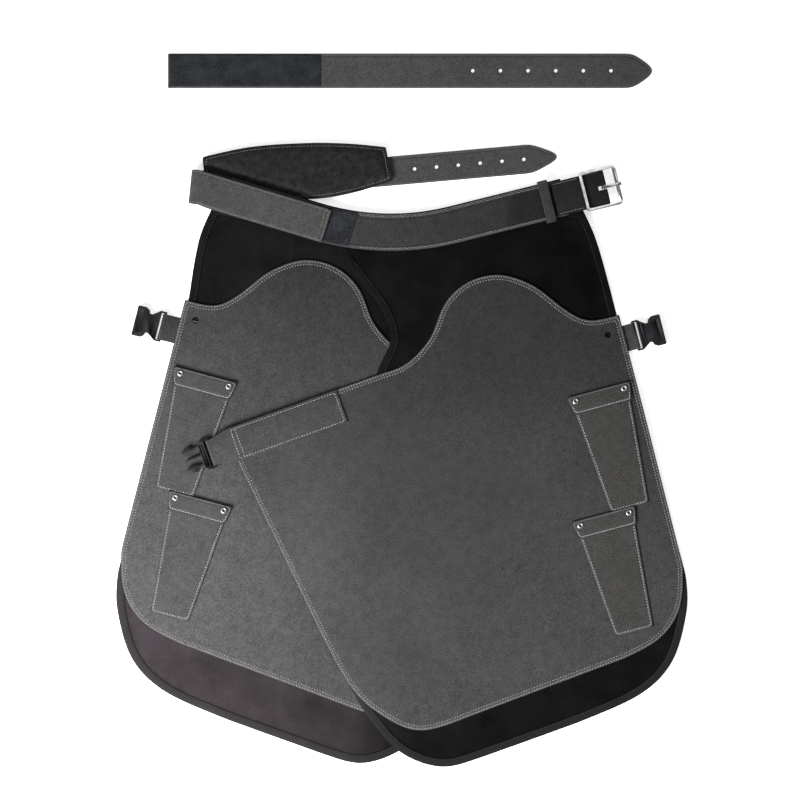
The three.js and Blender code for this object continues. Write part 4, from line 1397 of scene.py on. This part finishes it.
@dataclass
class WaistBelt:
    """The belt: grey leather on a dark backing, the loop patch, the keeper and the turned-over chape."""

    zigzag_from_edge: float = 2.7
    right_end: tuple[float, float] = (180.72 * MM, 233.19 * MM)
    right_angle: float = 14.0
    chape_lap: float = 12 * MM
    chape_seam: float = 16.4 * MM
    heel_bar: float = 20 * MM

    def build(self) -> None:
        """Builds the belt."""
        backing = sheet_from("belt_backing", "belt_backing_cloth", "apron", LINING, pitch=6 * MM)
        backing.build()
        backing.declare()
        leather = sheet_from("belt_leather", "belt_face_leather", "apron", BELT_LEATHER, pitch=5 * MM,
                             rests_on=("belt_backing_cloth",))
        leather.build()
        patch_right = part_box("belt_loop_patch")[1].x
        chape_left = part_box("buckle_chape")[0].x

        def on_face(line: np.ndarray) -> np.ndarray:
            """Says which points are on the face that shows, between the tape and the chape."""
            return (line[:, 0] > patch_right + 1 * MM) & (line[:, 0] < chape_left)

        zigzag = Seam(pitch=2.5 * MM, length=2.7 * MM, radius=0.28 * MM, style=StitchStyle.ZIGZAG,
                      swing=1.0 * MM)
        leather.seam((self.zigzag_from_edge,), zigzag, PALE_THREAD, on_face)
        leather.declare()
        patch = sheet_from("belt_loop_patch", "belt_loop_tape", "apron", HOOK_LOOP, pitch=3 * MM,
                           rests_on=("belt_face_leather",))
        patch.build()
        patch.seam((2.0,), Seam(pitch=3 * MM, length=2.2 * MM, radius=0.3 * MM), BLACK_THREAD)
        patch.declare()
        rounded("belt_keeper", "belt_keeper_loop", KEEPER_LEATHER, "apron", 1.1 * MM, 3, 50)
        chape = rounded("buckle_chape", "buckle_chape_leather", BLACK_LEATHER, "apron", 0.5 * MM)
        self.sew_chape(chape)
        LOG.info("waist belt: backing, face leather, loop tape, keeper and chape")

    def sew_chape(self, chape: bpy.types.Object) -> None:
        """Sews the chape down along both edges, from the keeper to the buckle's heel bar.

        Args:
            chape: The chape's piece.
        """
        lines = []
        for side in (-1, 1):
            edge = np.array([[-self.chape_lap + 2 * MM, side * self.chape_seam],
                             [self.heel_bar - 3 * MM, side * self.chape_seam]])
            lines.append((turned(edge, self.right_angle, self.right_end), False))
        Seam(pitch=2.8 * MM, length=2.1 * MM, radius=0.42 * MM).sew(
            "buckle_chape_stitches", lines, chape, GREY_THREAD, "apron")


@dataclass
class WaistBuckle:
    """The centre-bar buckle: bright wire frame, roller and prong."""

    wire_rounding: float = 1.25 * MM

    def build(self) -> None:
        """Builds the buckle."""
        rounded("waist_buckle_frame", "buckle_frame_wire", NICKEL, "buckle_frame", self.wire_rounding, 4, 50)
        rounded("waist_buckle_roller", "buckle_roller_sleeve", NICKEL, "buckle_roller", 0.25 * MM, 2, 50)
        rounded("waist_buckle_prong", "buckle_prong_bar", NICKEL, "buckle_prong", 0.5 * MM, 3, 50)
        LOG.info("waist buckle: frame, roller and prong")


@dataclass
class BackStrap:
    """The back strap, folded over at the left, with its billet and hook tape."""

    width: float = 38 * MM
    thickness: float = 2 * MM
    front_length: float = 149 * MM
    rear_length: float = 153 * MM
    rear_angle: float = 5.05
    front_angle: float = -16.7
    fold: tuple[float, float] = (-222.6 * MM, 243.8 * MM)
    corner_cut: float = 1.6 * MM
    corner_run: float = 20 * MM
    seam_in: float = 2.6 * MM
    end_seam_in: float = 6.5 * MM
    pitch: float = 3.0 * MM

    @property
    def bend_radius(self) -> float:
        """The radius of the bend's middle layer."""
        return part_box("back_strap_front_run")[1].z / 2 - self.thickness / 2

    def outline(self) -> np.ndarray:
        """Gives the strap's outline before it is folded, with the bend's middle at the origin.

        Returns:
            The closed outline, anticlockwise.
        """
        lean = (self.rear_angle - self.front_angle) / 2
        quarter = math.pi * self.bend_radius / 2
        half = self.width / 2
        side = half / math.cos(math.radians(lean))
        rear = turned(np.array([[self.rear_length, -half], [self.rear_length, half]]), lean, (quarter, 0))
        front = turned(np.array([[-self.front_length, half], [-self.front_length, -half]]), lean,
                       (-quarter, 0))
        lower = []
        for end, sign in ((front[1], -1), (rear[0], 1)):
            corner = np.array([sign * quarter, -side])
            toward = (end - corner) / np.linalg.norm(end - corner)
            steps = [corner + toward * self.corner_run, corner + toward * self.corner_run * 0.45
                     + [0, self.corner_cut * 0.25], corner + [0, self.corner_cut]]
            lower += steps if sign < 0 else steps[::-1]
        return np.vstack([rear, [[quarter, side], [-quarter, side]], front, lower])

    def folded(self, points: np.ndarray) -> np.ndarray:
        """Folds flat points over the crease and puts them in place.

        Args:
            points: Flat x and y, and the height from the middle layer, outwards from the bend.

        Returns:
            The points on the folded strap.
        """
        radius = self.bend_radius
        quarter = math.pi * radius / 2
        reach = radius + points[:, 2]
        angle = np.clip(points[:, 0] / radius, -math.pi / 2, math.pi / 2)
        past = np.maximum(np.abs(points[:, 0]) - quarter, 0)
        x = past - reach * np.cos(angle)
        z = radius + self.thickness / 2 - reach * np.sin(angle)
        flat = np.stack([x, points[:, 1], z], axis=1)
        return turned(flat, (self.rear_angle + self.front_angle) / 2, self.fold)

    def build(self) -> None:
        """Builds the strap, its billet and its tape."""
        strap = Sheet("back_strap_leather", ("back_strap_front_run", "back_strap_rear_run"), None,
                      STRAP_LEATHER, self.outline(), self.thickness, -self.thickness / 2,
                      pitch=self.pitch, edge_pitch=2.5 * MM, corner=15, rests_on=("belt_loop_tape", "table"))
        strap.cut()
        strap.lay()
        set_points(strap.piece, self.folded(points_of(strap.piece)))
        recalculate_normals(strap.piece)
        smooth_shade(strap.piece, 50)
        dress(strap.piece, STRAP_LEATHER)
        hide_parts(*strap.nodes)
        self.sew(strap)
        strap.declare("folded")
        for piece in (strap.piece, *strap.threads):
            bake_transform(piece)
        tape = sheet_from("front_run_hook_patch", "front_run_hook_tape", "front_run", HOOK_LOOP,
                          pitch=4 * MM, rests_on=("belt_loop_tape",))
        tape.build()
        tape.declare()
        self.build_billet()
        LOG.info("back strap: folded strap, hook tape and billet")

    def sew(self, strap: Sheet) -> None:
        """Sews the front run along both edges and across its end.

        Args:
            strap: The folded strap.
        """
        quarter = math.pi * self.bend_radius / 2
        line = inward(strap.loop, self.seam_in, 1 * MM)
        flat_lines = runs_of(line, line[:, 0] < -quarter - 2 * MM)
        lean = (self.rear_angle - self.front_angle) / 2
        half = self.width / 2 - 3 * MM
        end = self.end_seam_in - self.front_length
        across = np.array([[end, half], [end, -half]])
        flat_lines.append(turned(across, lean, (-quarter, 0)))
        lines = []
        for line in flat_lines:
            flat = np.column_stack([line, np.full(len(line), self.thickness / 2)])
            lines.append((self.folded(flat)[:, :2], False))
        strap.threads.append(Seam(pitch=3 * MM, length=2.3 * MM, radius=0.34 * MM).sew(
            "back_strap_stitches", lines, strap.piece, GREY_THREAD, None))

    def build_billet(self) -> None:
        """Builds the pointed billet that the buckle takes."""
        billet = sheet_from("billet_strap", "billet_leather", "apron", STRAP_LEATHER, pitch=4 * MM,
                            corner=75, holes=punched("billet_strap"))
        billet.build()
        billet.declare()


def ordered(loops: Sequence[np.ndarray]) -> list[np.ndarray]:
    """Turns loops anticlockwise."""
    return [loop if area_of(loop) > 0 else loop[::-1] for loop in loops]


def punched(node: str) -> list[np.ndarray]:
    """Gives the outlines of a strap's punched holes, finely spaced."""
    return [even_loop(loop, 0.8 * MM, 80, 0) for loop in ordered(node_loops(node)[1:])]


@dataclass
class LumbarPad:
    """The stuffed suede pad, swollen by cloth pressure, with its pressed seam and stitching."""

    voxel: float = 3 * MM
    swell_cap: float = 5 * MM
    seam_in: float = 3.6
    channel_width: float = 1.1
    channel_depth: float = 0.8 * MM
    pressure: float = 4.0
    swell_steps: int = 20

    def build(self) -> None:
        """Builds the pad."""
        pad = merged_copy("lumbar_pad", "lumbar_pad_suede")
        rest_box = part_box("lumbar_pad")
        pick(pad)
        pad.data.remesh_voxel_size = self.voxel
        bpy.ops.object.voxel_remesh()
        start = points_of(pad)
        loop = even_loop(node_loops("lumbar_pad")[0], 3 * MM)
        inside = depth_in(start, loop)
        crown = self.crown(start, inside)
        set_points(pad, crown)
        self.swell(pad)
        self.limit(pad, crown, inside, rest_box)
        apply_modifier(pad, "SUBSURF", levels=1, render_levels=1)
        self.press_seam(pad, loop)
        smooth_shade(pad, 60)
        dress(pad, SUEDE)
        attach(pad, "apron")
        line = inward(loop, self.seam_in * MM, 1 * MM)
        bare = line[:, 1] > self.cover_edge(line)
        Seam(pitch=3.2 * MM, length=2.3 * MM, radius=0.34 * MM).sew(
            "lumbar_pad_stitches", [(part, False) for part in runs_of(line, bare)], pad, GREY_THREAD,
            "apron")
        LOG.info("lumbar pad: stuffed suede with its seam")

    @staticmethod
    def cover_edge(points: np.ndarray) -> np.ndarray:
        """Gives the height up the table below which the belt and strap cover the pad.

        Args:
            points: Rows that start with x and y.

        Returns:
            The height up the table at each.
        """
        slant = math.radians(-BackStrap.front_angle)
        half = BackStrap.width / 2 / math.cos(slant)
        along = points[:, 0] - BackStrap.fold[0]
        return BackStrap.fold[1] + half - along * math.tan(slant) + 0.5 * MM

    def crown(self, points: np.ndarray, inside: np.ndarray) -> np.ndarray:
        """Draws the pad's rim down towards its middle height, a little smaller than its solid.

        Args:
            points: The pad's vertices.
            inside: How far inside the outline each is.

        Returns:
            The moved vertices.
        """
        low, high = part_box("lumbar_pad")
        middle = (low.z + high.z) / 2 - 1.5 * MM
        share = 0.30 + 0.62 * smoothstep(0, 14 * MM, inside + 0.5 * MM)
        found = points.copy()
        found[:, 2] = middle + (points[:, 2] - middle) * share
        return found

    def swell(self, pad: bpy.types.Object) -> None:
        """Swells the pad as a closed cloth bag under pressure.

        Args:
            pad: The pad's piece.
        """
        pick(pad)
        cloth = pad.modifiers.new("Swell", "CLOTH")
        cloth.settings.use_pressure = True
        cloth.settings.uniform_pressure_force = self.pressure
        cloth.settings.quality = 5
        cloth.settings.effector_weights.gravity = 0
        scene = bpy.context.scene
        for step in range(1, self.swell_steps + 1):
            scene.frame_set(step)
        bpy.ops.object.modifier_apply(modifier=cloth.name)
        scene.frame_set(1)

    def limit(self, pad: bpy.types.Object, start: np.ndarray, inside: np.ndarray,
              box: tuple[Vector, Vector]) -> None:
        """Holds the sewn rim, caps how far the rest swelled, and keeps it clear of the straps.

        Args:
            pad: The pad's piece.
            start: Where its vertices were before it swelled.
            inside: How far inside the outline each vertex was.
            box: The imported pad's lowest and highest corners.
        """
        moved = points_of(pad) - start
        moved *= smoothstep(self.seam_in * MM, 16 * MM, inside)[:, None]
        length = np.linalg.norm(moved, axis=1)
        moved *= np.minimum(1, self.swell_cap / np.maximum(length, 1e-9))[:, None]
        found = start + moved
        found[:, 2] = np.clip(found[:, 2], box[0].z, box[1].z)
        covered = found[:, 1] < self.cover_edge(found) + 3 * MM
        belt_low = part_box("belt_backing")[0].z - 0.4 * MM
        belt = node_loops("belt_backing")[0]
        under_belt = depth_in(found, belt) > -6 * MM
        found[:, 2] = np.where(under_belt, np.minimum(found[:, 2], belt_low), found[:, 2])
        strap_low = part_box("front_run_hook_patch")[0].z - 0.4 * MM
        found[:, 2] = np.where(covered, np.minimum(found[:, 2], strap_low), found[:, 2])
        set_points(pad, found)

    def press_seam(self, pad: bpy.types.Object, loop: np.ndarray) -> None:
        """Presses a channel for the seam a little inside the rim.

        Args:
            pad: The pad's piece.
            loop: Its outline.
        """
        points = points_of(pad)
        inside = depth_in(points, loop) / MM
        channel = np.exp(-((inside - self.seam_in) / self.channel_width) ** 2)
        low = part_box("lumbar_pad")[0].z
        upper = smoothstep(low + 3 * MM, low + 6 * MM, points[:, 2])
        points[:, 2] -= channel * upper * self.channel_depth
        set_points(pad, points)


@dataclass
class ExtensionStrap:
    """The loose pointed strap that lies above the apron, with its hook tape and holes."""

    def build(self) -> None:
        """Builds the loose strap."""
        strap = sheet_from("extension_strap", "extension_leather", "extension", STRAP_LEATHER,
                           pitch=5 * MM, holes=punched("extension_strap"), corner=75)
        strap.build()
        strap.declare()
        tape = sheet_from("extension_hook_patch", "extension_hook_tape", "extension", HOOK_LOOP,
                          pitch=3 * MM, rests_on=("extension_leather",))
        tape.build()
        tape.seam((2.2,), Seam(pitch=3 * MM, length=2.2 * MM, radius=0.3 * MM), BLACK_THREAD)
        tape.declare()
        LOG.info("extension strap: leather and hook tape")


@dataclass
class Leg:
    """One leg: lining, leather, two stitched pouches with riveted bands, and its strap ends."""

    side: Side
    lay: Lay
    rivet_head: float = 3.5 * MM
    rivet_bore: float = 1.35 * MM
    ply: float = 0.9 * MM
    groove_depth: float = 1.1 * MM
    tongue_slant: float = 19.7
    tongue_lap: float = 124 * MM

    @property
    def body(self) -> str:
        """The body that the leg's own pieces ride on."""
        return "apron" if self.side is Side.LEFT else "right_leg"

    def drop(self, points: np.ndarray) -> np.ndarray:
        """How far the leg lies below its level at each point.

        Args:
            points: Rows that start with x and y.

        Returns:
            The change of height, zero or less.
        """
        if self.side is Side.LEFT:
            return np.zeros(len(points))
        return self.lay.right_drop(points)

    def node(self, name: str) -> str:
        """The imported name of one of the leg's solids."""
        return f"{self.side.value}_{name}"

    def build(self) -> None:
        """Builds the leg."""
        self.build_lining()
        self.build_leather()
        for level in ("upper", "lower"):
            self.build_pouch(level)
        self.build_tongue()
        self.build_outer_clip()
        LOG.info("%s leg: lining, leather, pouches, strap ends and clips", self.side.value)

    def build_lining(self) -> None:
        """Builds the lining with its sewn hem."""
        right = self.side is Side.RIGHT
        height = self.lay.right_lining_height if right else self.lay.left_lining_height
        nodes = ("right_lining", "right_lining_top") if right else ("left_lining",)
        loop = self.lay.right_lining if right else self.lay.left_lining
        low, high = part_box(self.node("lining"))
        lining = Sheet(self.node("lining_cloth"), nodes, None if right else "apron", LINING, loop,
                       high.z - low.z, low.z, pitch=6 * MM, rows=(8.3, 9.0), drape=height,
                       raised_hem=0.35 * MM, tucked_under=self.lay.belt,
                       rests_on=("left_leg_leather",) if right else ("table",))
        lining.build()

        def below_belt(line: np.ndarray) -> np.ndarray:
            """Says which points are clear of the belt."""
            return depth_in(line, self.lay.belt) < -14 * MM

        lining.seam((7.6,), Seam(pitch=3.2 * MM, length=2.2 * MM, radius=0.26 * MM), BLACK_THREAD,
                    below_belt)
        lining.declare()
        if right:
            for piece in (lining.piece, *lining.threads):
                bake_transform(piece)

    def build_leather(self) -> None:
        """Builds the leg's leather with its double row of stitches."""
        node = self.node("leather")
        holes = [even_loop(loop, 1.2 * MM, 80, 2) for loop in ordered(node_loops(node)[1:])
                 if abs(area_of(loop)) > 20 * MM * MM]
        leather = sheet_from(node, self.node("leg_leather"), self.body, LEG_LEATHERS[self.side],
                             pitch=6 * MM, holes=holes, drape=self.drop,
                             rests_on=(self.node("lining_cloth"),))
        leather.build()
        leather.seam((2.2, 5.2), Seam(), PALE_THREAD)
        leather.declare()

    def build_pouch(self, level: str) -> None:
        """Builds one pouch: its panel, its band and the band's rivets.

        Args:
            level: The pouch's place, upper or lower.
        """
        panel = sheet_from(self.node(f"{level}_pouch"), self.node(f"{level}_pouch_leather"), self.body,
                           POUCH_LEATHERS[self.side], pitch=4 * MM, drape=self.drop,
                           rests_on=(self.node("leg_leather"),))
        panel.build()
        band_node = self.node(f"{level}_pouch_band")
        band_loop = node_loops(band_node)[0]

        def below_band(line: np.ndarray) -> np.ndarray:
            """Says which points the band leaves bare."""
            return depth_in(line, band_loop) < -1 * MM

        panel.seam((2.4,), Seam(pitch=3.2 * MM, length=2.4 * MM, radius=0.4 * MM), BRIGHT_THREAD, below_band)
        panel.declare()
        band = sheet_from(band_node, self.node(f"{level}_band_leather"), self.body,
                          POUCH_LEATHERS[self.side], pitch=4 * MM, drape=self.drop,
                          rests_on=(panel.name,))
        band.build()
        middle = band.loop.mean(axis=0)
        down = panel.loop.mean(axis=0) - middle
        down /= np.linalg.norm(down)

        def lower_edge(line: np.ndarray) -> np.ndarray:
            """Says which points are on the band's edge towards the pouch's foot."""
            return (line - middle) @ down > 1 * MM

        band.seam((1.7,), Seam(pitch=3 * MM, length=2.3 * MM, radius=0.42 * MM), BRIGHT_THREAD, lower_edge)
        band.declare()
        for where in ("inner", "outer"):
            self.build_rivet(self.node(f"{level}_rivet_{where}"))

    def build_rivet(self, node: str) -> None:
        """Builds one hollow rivet by spinning its profile.

        Args:
            node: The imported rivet's name.
        """
        low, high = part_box(node)
        centre = Vector(((low.x + high.x) / 2, (low.y + high.y) / 2, 0))
        drop = float(self.drop(np.array([[centre.x, centre.y]]))[0])
        head, bore, foot = self.rivet_head, self.rivet_bore, low.z + drop
        top = high.z + drop
        shank, under_head = head * 0.4, top - 1.2 * MM
        profile = [(bore, foot), (shank, foot), (shank, under_head), (head * 0.93, under_head),
                   (head, top - 0.85 * MM), (head * 0.94, top - 0.45 * MM), (head * 0.78, top - 0.12 * MM),
                   (head * 0.62, top), (head * 0.5, top - 0.1 * MM), (bore, top - 0.5 * MM)]
        flat = np.array([[centre.x + r, centre.y, z] for r, z in profile])
        outline = [(i, (i + 1) % len(flat)) for i in range(len(flat))]
        rivet = make_object(f"{node}_ring", flat, [], outline)
        pick(rivet)
        bpy.ops.object.mode_set(mode="EDIT")
        bpy.ops.mesh.select_all(action="SELECT")
        bpy.ops.mesh.spin(steps=24, angle=2 * math.pi, center=centre, axis=(0, 0, 1), dupli=False)
        bpy.ops.mesh.select_all(action="SELECT")
        bpy.ops.mesh.remove_doubles(threshold=0.01 * MM)
        bpy.ops.mesh.normals_make_consistent(inside=False)
        bpy.ops.object.mode_set(mode="OBJECT")
        smooth_shade(rivet, 40)
        dress(rivet, RIVET_NICKEL)
        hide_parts(node)
        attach(rivet, self.body)

    def build_tongue(self) -> None:
        """Builds the inner strap end with its clip's insert."""
        node = self.node("tongue_strap")
        insert_body = "right_insert" if self.side is Side.RIGHT else "apron"
        strap = rounded(node, self.node("tongue_leather"), TONGUE_LEATHER, self.body, 0.5 * MM, 2, 40,
                        self.draped)
        self.sew_tongue(strap)
        insert = rounded(self.node("tongue_clip_insert"), self.node("clip_insert_moulding"), PLASTIC,
                         insert_body, 0.5 * MM, 2, 40)
        if self.side is Side.RIGHT:
            self.groove(insert, "right_insert_swing", ((6.6, 0, 1.3, 25), (9.9, 0, 1.3, 25)))

    def draped(self, points: np.ndarray) -> np.ndarray:
        """Lets a copy lie at its leg's height.

        Args:
            points: The copy's vertices.

        Returns:
            The lowered vertices.
        """
        found = points.copy()
        found[:, 2] += self.drop(points)
        return found

    def sew_tongue(self, strap: bpy.types.Object) -> None:
        """Sews the strap end down along both edges and across both ends.

        Args:
            strap: The strap end's piece.
        """
        points = points_of(strap)[:, :2]
        box_middle = points.mean(axis=0)
        sign = 1.0 if self.side is Side.RIGHT else -1.0
        angle = math.radians(sign * self.tongue_slant)
        along = np.array([math.cos(angle), math.sin(angle)])
        across = np.array([-along[1], along[0]])
        reach = (points - box_middle) @ along
        offset = (points - box_middle) @ across
        middle = box_middle + across * (offset.min() + offset.max()) / 2
        sewn = reach.max() if sign > 0 else reach.min()
        near, far = sewn - sign * 3 * MM, sewn - sign * self.tongue_lap
        half = (offset.max() - offset.min()) / 2 - 2.8 * MM
        lines = []
        for side in (-1, 1):
            lines.append((np.array([middle + along * near + across * side * half,
                                    middle + along * far + across * side * half]), False))
        for at in (near, far, far + sign * 5 * MM):
            lines.append((np.array([middle + along * at - across * half,
                                    middle + along * at + across * half]), False))
        Seam(pitch=3.2 * MM, length=2.4 * MM, radius=0.38 * MM).sew(
            self.node("tongue_stitches"), lines, strap, BRIGHT_THREAD, self.body)

    def build_outer_clip(self) -> None:
        """Builds the outer tab and its clip's receptacle."""
        body = f"{self.side.value}_receptacle"
        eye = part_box(self.node("outer_tab"))
        out = max(abs(eye[0].x), abs(eye[1].x))

        def tucked(points: np.ndarray) -> np.ndarray:
            """Lowers the tab's tail with the leg.

            Args:
                points: The tab's vertices.

            Returns:
                The lowered vertices.
            """
            found = points.copy()
            share = smoothstep(4 * MM, 14 * MM, out - np.abs(points[:, 0]))
            found[:, 2] += self.drop(points) * share
            return found

        tab = rounded(self.node("outer_tab"), self.node("outer_tab_leather"), TAB_LEATHER, self.body,
                      0.3 * MM, move=tucked)
        if self.side is Side.RIGHT:
            self.lift_to_table(tab)
        clip = rounded(self.node("outer_clip_receptacle"), self.node("clip_receptacle_moulding"), PLASTIC,
                       body, 0.7 * MM, 3, 35)
        self.groove(clip, f"{body}_swing", ((7.2, 0, 1.2, 27), (10.2, 0, 0.9, 22), (25.5, 0, 0.8, 22)))

    def lift_to_table(self, strap: bpy.types.Object) -> None:
        """Lifts what would sink through the table, with the strap's ply kept at its thickness.

        Args:
            strap: The strap's piece.
        """
        normals = np.zeros(len(strap.data.vertices) * 3)
        strap.data.vertex_normals.foreach_get("vector", normals)
        points = points_of(strap)
        faces_up = normals.reshape(-1, 3)[:, 2] > 0
        points[:, 2] = np.maximum(points[:, 2], np.where(faces_up, self.ply, 0.0))
        set_points(strap, points)

    def groove(self, clip: bpy.types.Object, joint: str, grooves: Sequence[tuple[float, ...]]) -> None:
        """Sinks grooves into a clip's upper face.

        Args:
            clip: The clip's piece.
            joint: The joint whose axis runs along the clip's bar.
            grooves: Each groove's distance from the bar, offset across, length along the clip and
                width across it, in millimetres.
        """
        hinge = next(item for item in frame["record"]["behaviour"]["joints"] if item["name"] == joint)
        axis, eye = hinge["axis"], hinge["pos_m"]
        angle = math.atan2(axis[0], -axis[1])
        top = points_of(clip)[:, 2].max()
        for reach, side, length, width in grooves:
            spot = turned(np.array([[reach * MM, side * MM]]), math.degrees(angle), eye[:2])[0]
            clear_selection()
            bpy.ops.mesh.primitive_cube_add(size=1, location=(spot[0], spot[1], top),
                                            rotation=(0, 0, angle),
                                            scale=(length * MM, width * MM, 2 * self.groove_depth))
            cutter = bpy.context.object
            bpy.ops.object.transform_apply(location=True, rotation=True, scale=True)
            apply_modifier(clip, "BOOLEAN", operation="DIFFERENCE", solver="EXACT", object=cutter)
            bpy.data.objects.remove(cutter)
        smooth_shade(clip, 40)


# ---------------------------------------------------------------- studio


@dataclass
class Studio:
    """A pale table top, soft light from the lower left, and a camera looking straight down."""

    lens: float = 100.0
    view_width: float = 0.88
    centre_y: float = 0.011
    floor_side: float = 14.0
    sky_strength: float = 0.24
    glow: float = 0.62

    def camera(self) -> None:
        """Sets the camera up."""
        data = bpy.data.cameras.new("Camera")
        data.lens = self.lens
        data.sensor_width = 36.0
        data.clip_end = 100.0
        camera = bpy.data.objects.new("Camera", data)
        camera.location = (0.0, self.centre_y, self.view_width * self.lens / data.sensor_width)
        bpy.context.scene.collection.objects.link(camera)
        bpy.context.scene.camera = camera

    def light(self, name: str, place: tuple[float, float, float], size: float, power: float) -> None:
        """Adds a soft square light aimed at the middle of the apron.

        Args:
            name: The light's name.
            place: Where it stands.
            size: The length of its side.
            power: Its power in watts.
        """
        data = bpy.data.lights.new(name, "AREA")
        data.shape = "SQUARE"
        data.size = size
        data.energy = power
        lamp = bpy.data.objects.new(name, data)
        lamp.location = place
        lamp.rotation_euler = (-Vector(place)).to_track_quat("-Z", "Y").to_euler()
        bpy.context.scene.collection.objects.link(lamp)

    def sky(self, tree: bpy.types.NodeTree) -> None:
        """Makes the surroundings pale overhead and dim towards the horizon.

        Args:
            tree: The world's node tree.
        """
        back = tree.nodes["Background"]
        height = tree.nodes.new("ShaderNodeSeparateXYZ")
        coords = tree.nodes.new("ShaderNodeTexCoord")
        ramp = tree.nodes.new("ShaderNodeValToRGB")
        ramp.color_ramp.elements[0].position = 0.05
        ramp.color_ramp.elements[0].color = (0.12, 0.12, 0.125, 1)
        ramp.color_ramp.elements[1].position = 0.85
        ramp.color_ramp.elements[1].color = (1, 1, 1, 1)
        tree.links.new(coords.outputs["Generated"], height.inputs["Vector"])
        tree.links.new(height.outputs["Z"], ramp.inputs["Fac"])
        tree.links.new(ramp.outputs["Color"], back.inputs["Color"])
        back.inputs["Strength"].default_value = self.sky_strength

    def build(self) -> None:
        """Builds the studio."""
        clear_selection()
        bpy.ops.mesh.primitive_plane_add(size=self.floor_side, location=(0, 0, -0.0004))
        floor = bpy.context.object
        floor.name = "table"
        bench = Bench("Table_Top")
        floor.data.materials.append(bench.finish(
            Base_Color=bench.blend(bench.noise(3.0), rgb(0.93, 0.93, 0.93), rgb(0.95, 0.95, 0.95)),
            Roughness=0.9, Specular_IOR_Level=0.1, Emission_Color=rgb(1, 1, 1),
            Emission_Strength=self.glow))
        bpy.ops.object.transform_apply(location=True, rotation=True, scale=True)
        self.light("Key", (-0.95, -1.05, 1.15), 0.9, 74.0)
        self.light("Fill", (1.5, 1.6, 2.6), 2.2, 26.0)
        world = bpy.data.worlds.new("Studio")
        world.use_nodes = True
        self.sky(world.node_tree)
        bpy.context.scene.world = world
        bpy.context.scene.view_settings.view_transform = "Standard"


def main() -> None:
    """Builds the apron in order."""
    logging.basicConfig(level=logging.INFO, format="%(message)s")
    studio = Studio()
    studio.camera()
    studio.build()
    lay = Lay()
    WaistBelt().build()
    WaistBuckle().build()
    BackStrap().build()
    LumbarPad().build()
    ExtensionStrap().build()
    for side in Side:
        Leg(side, lay).build()
    LOG.info("sizes written")


if __name__ == "__main__":
    main()
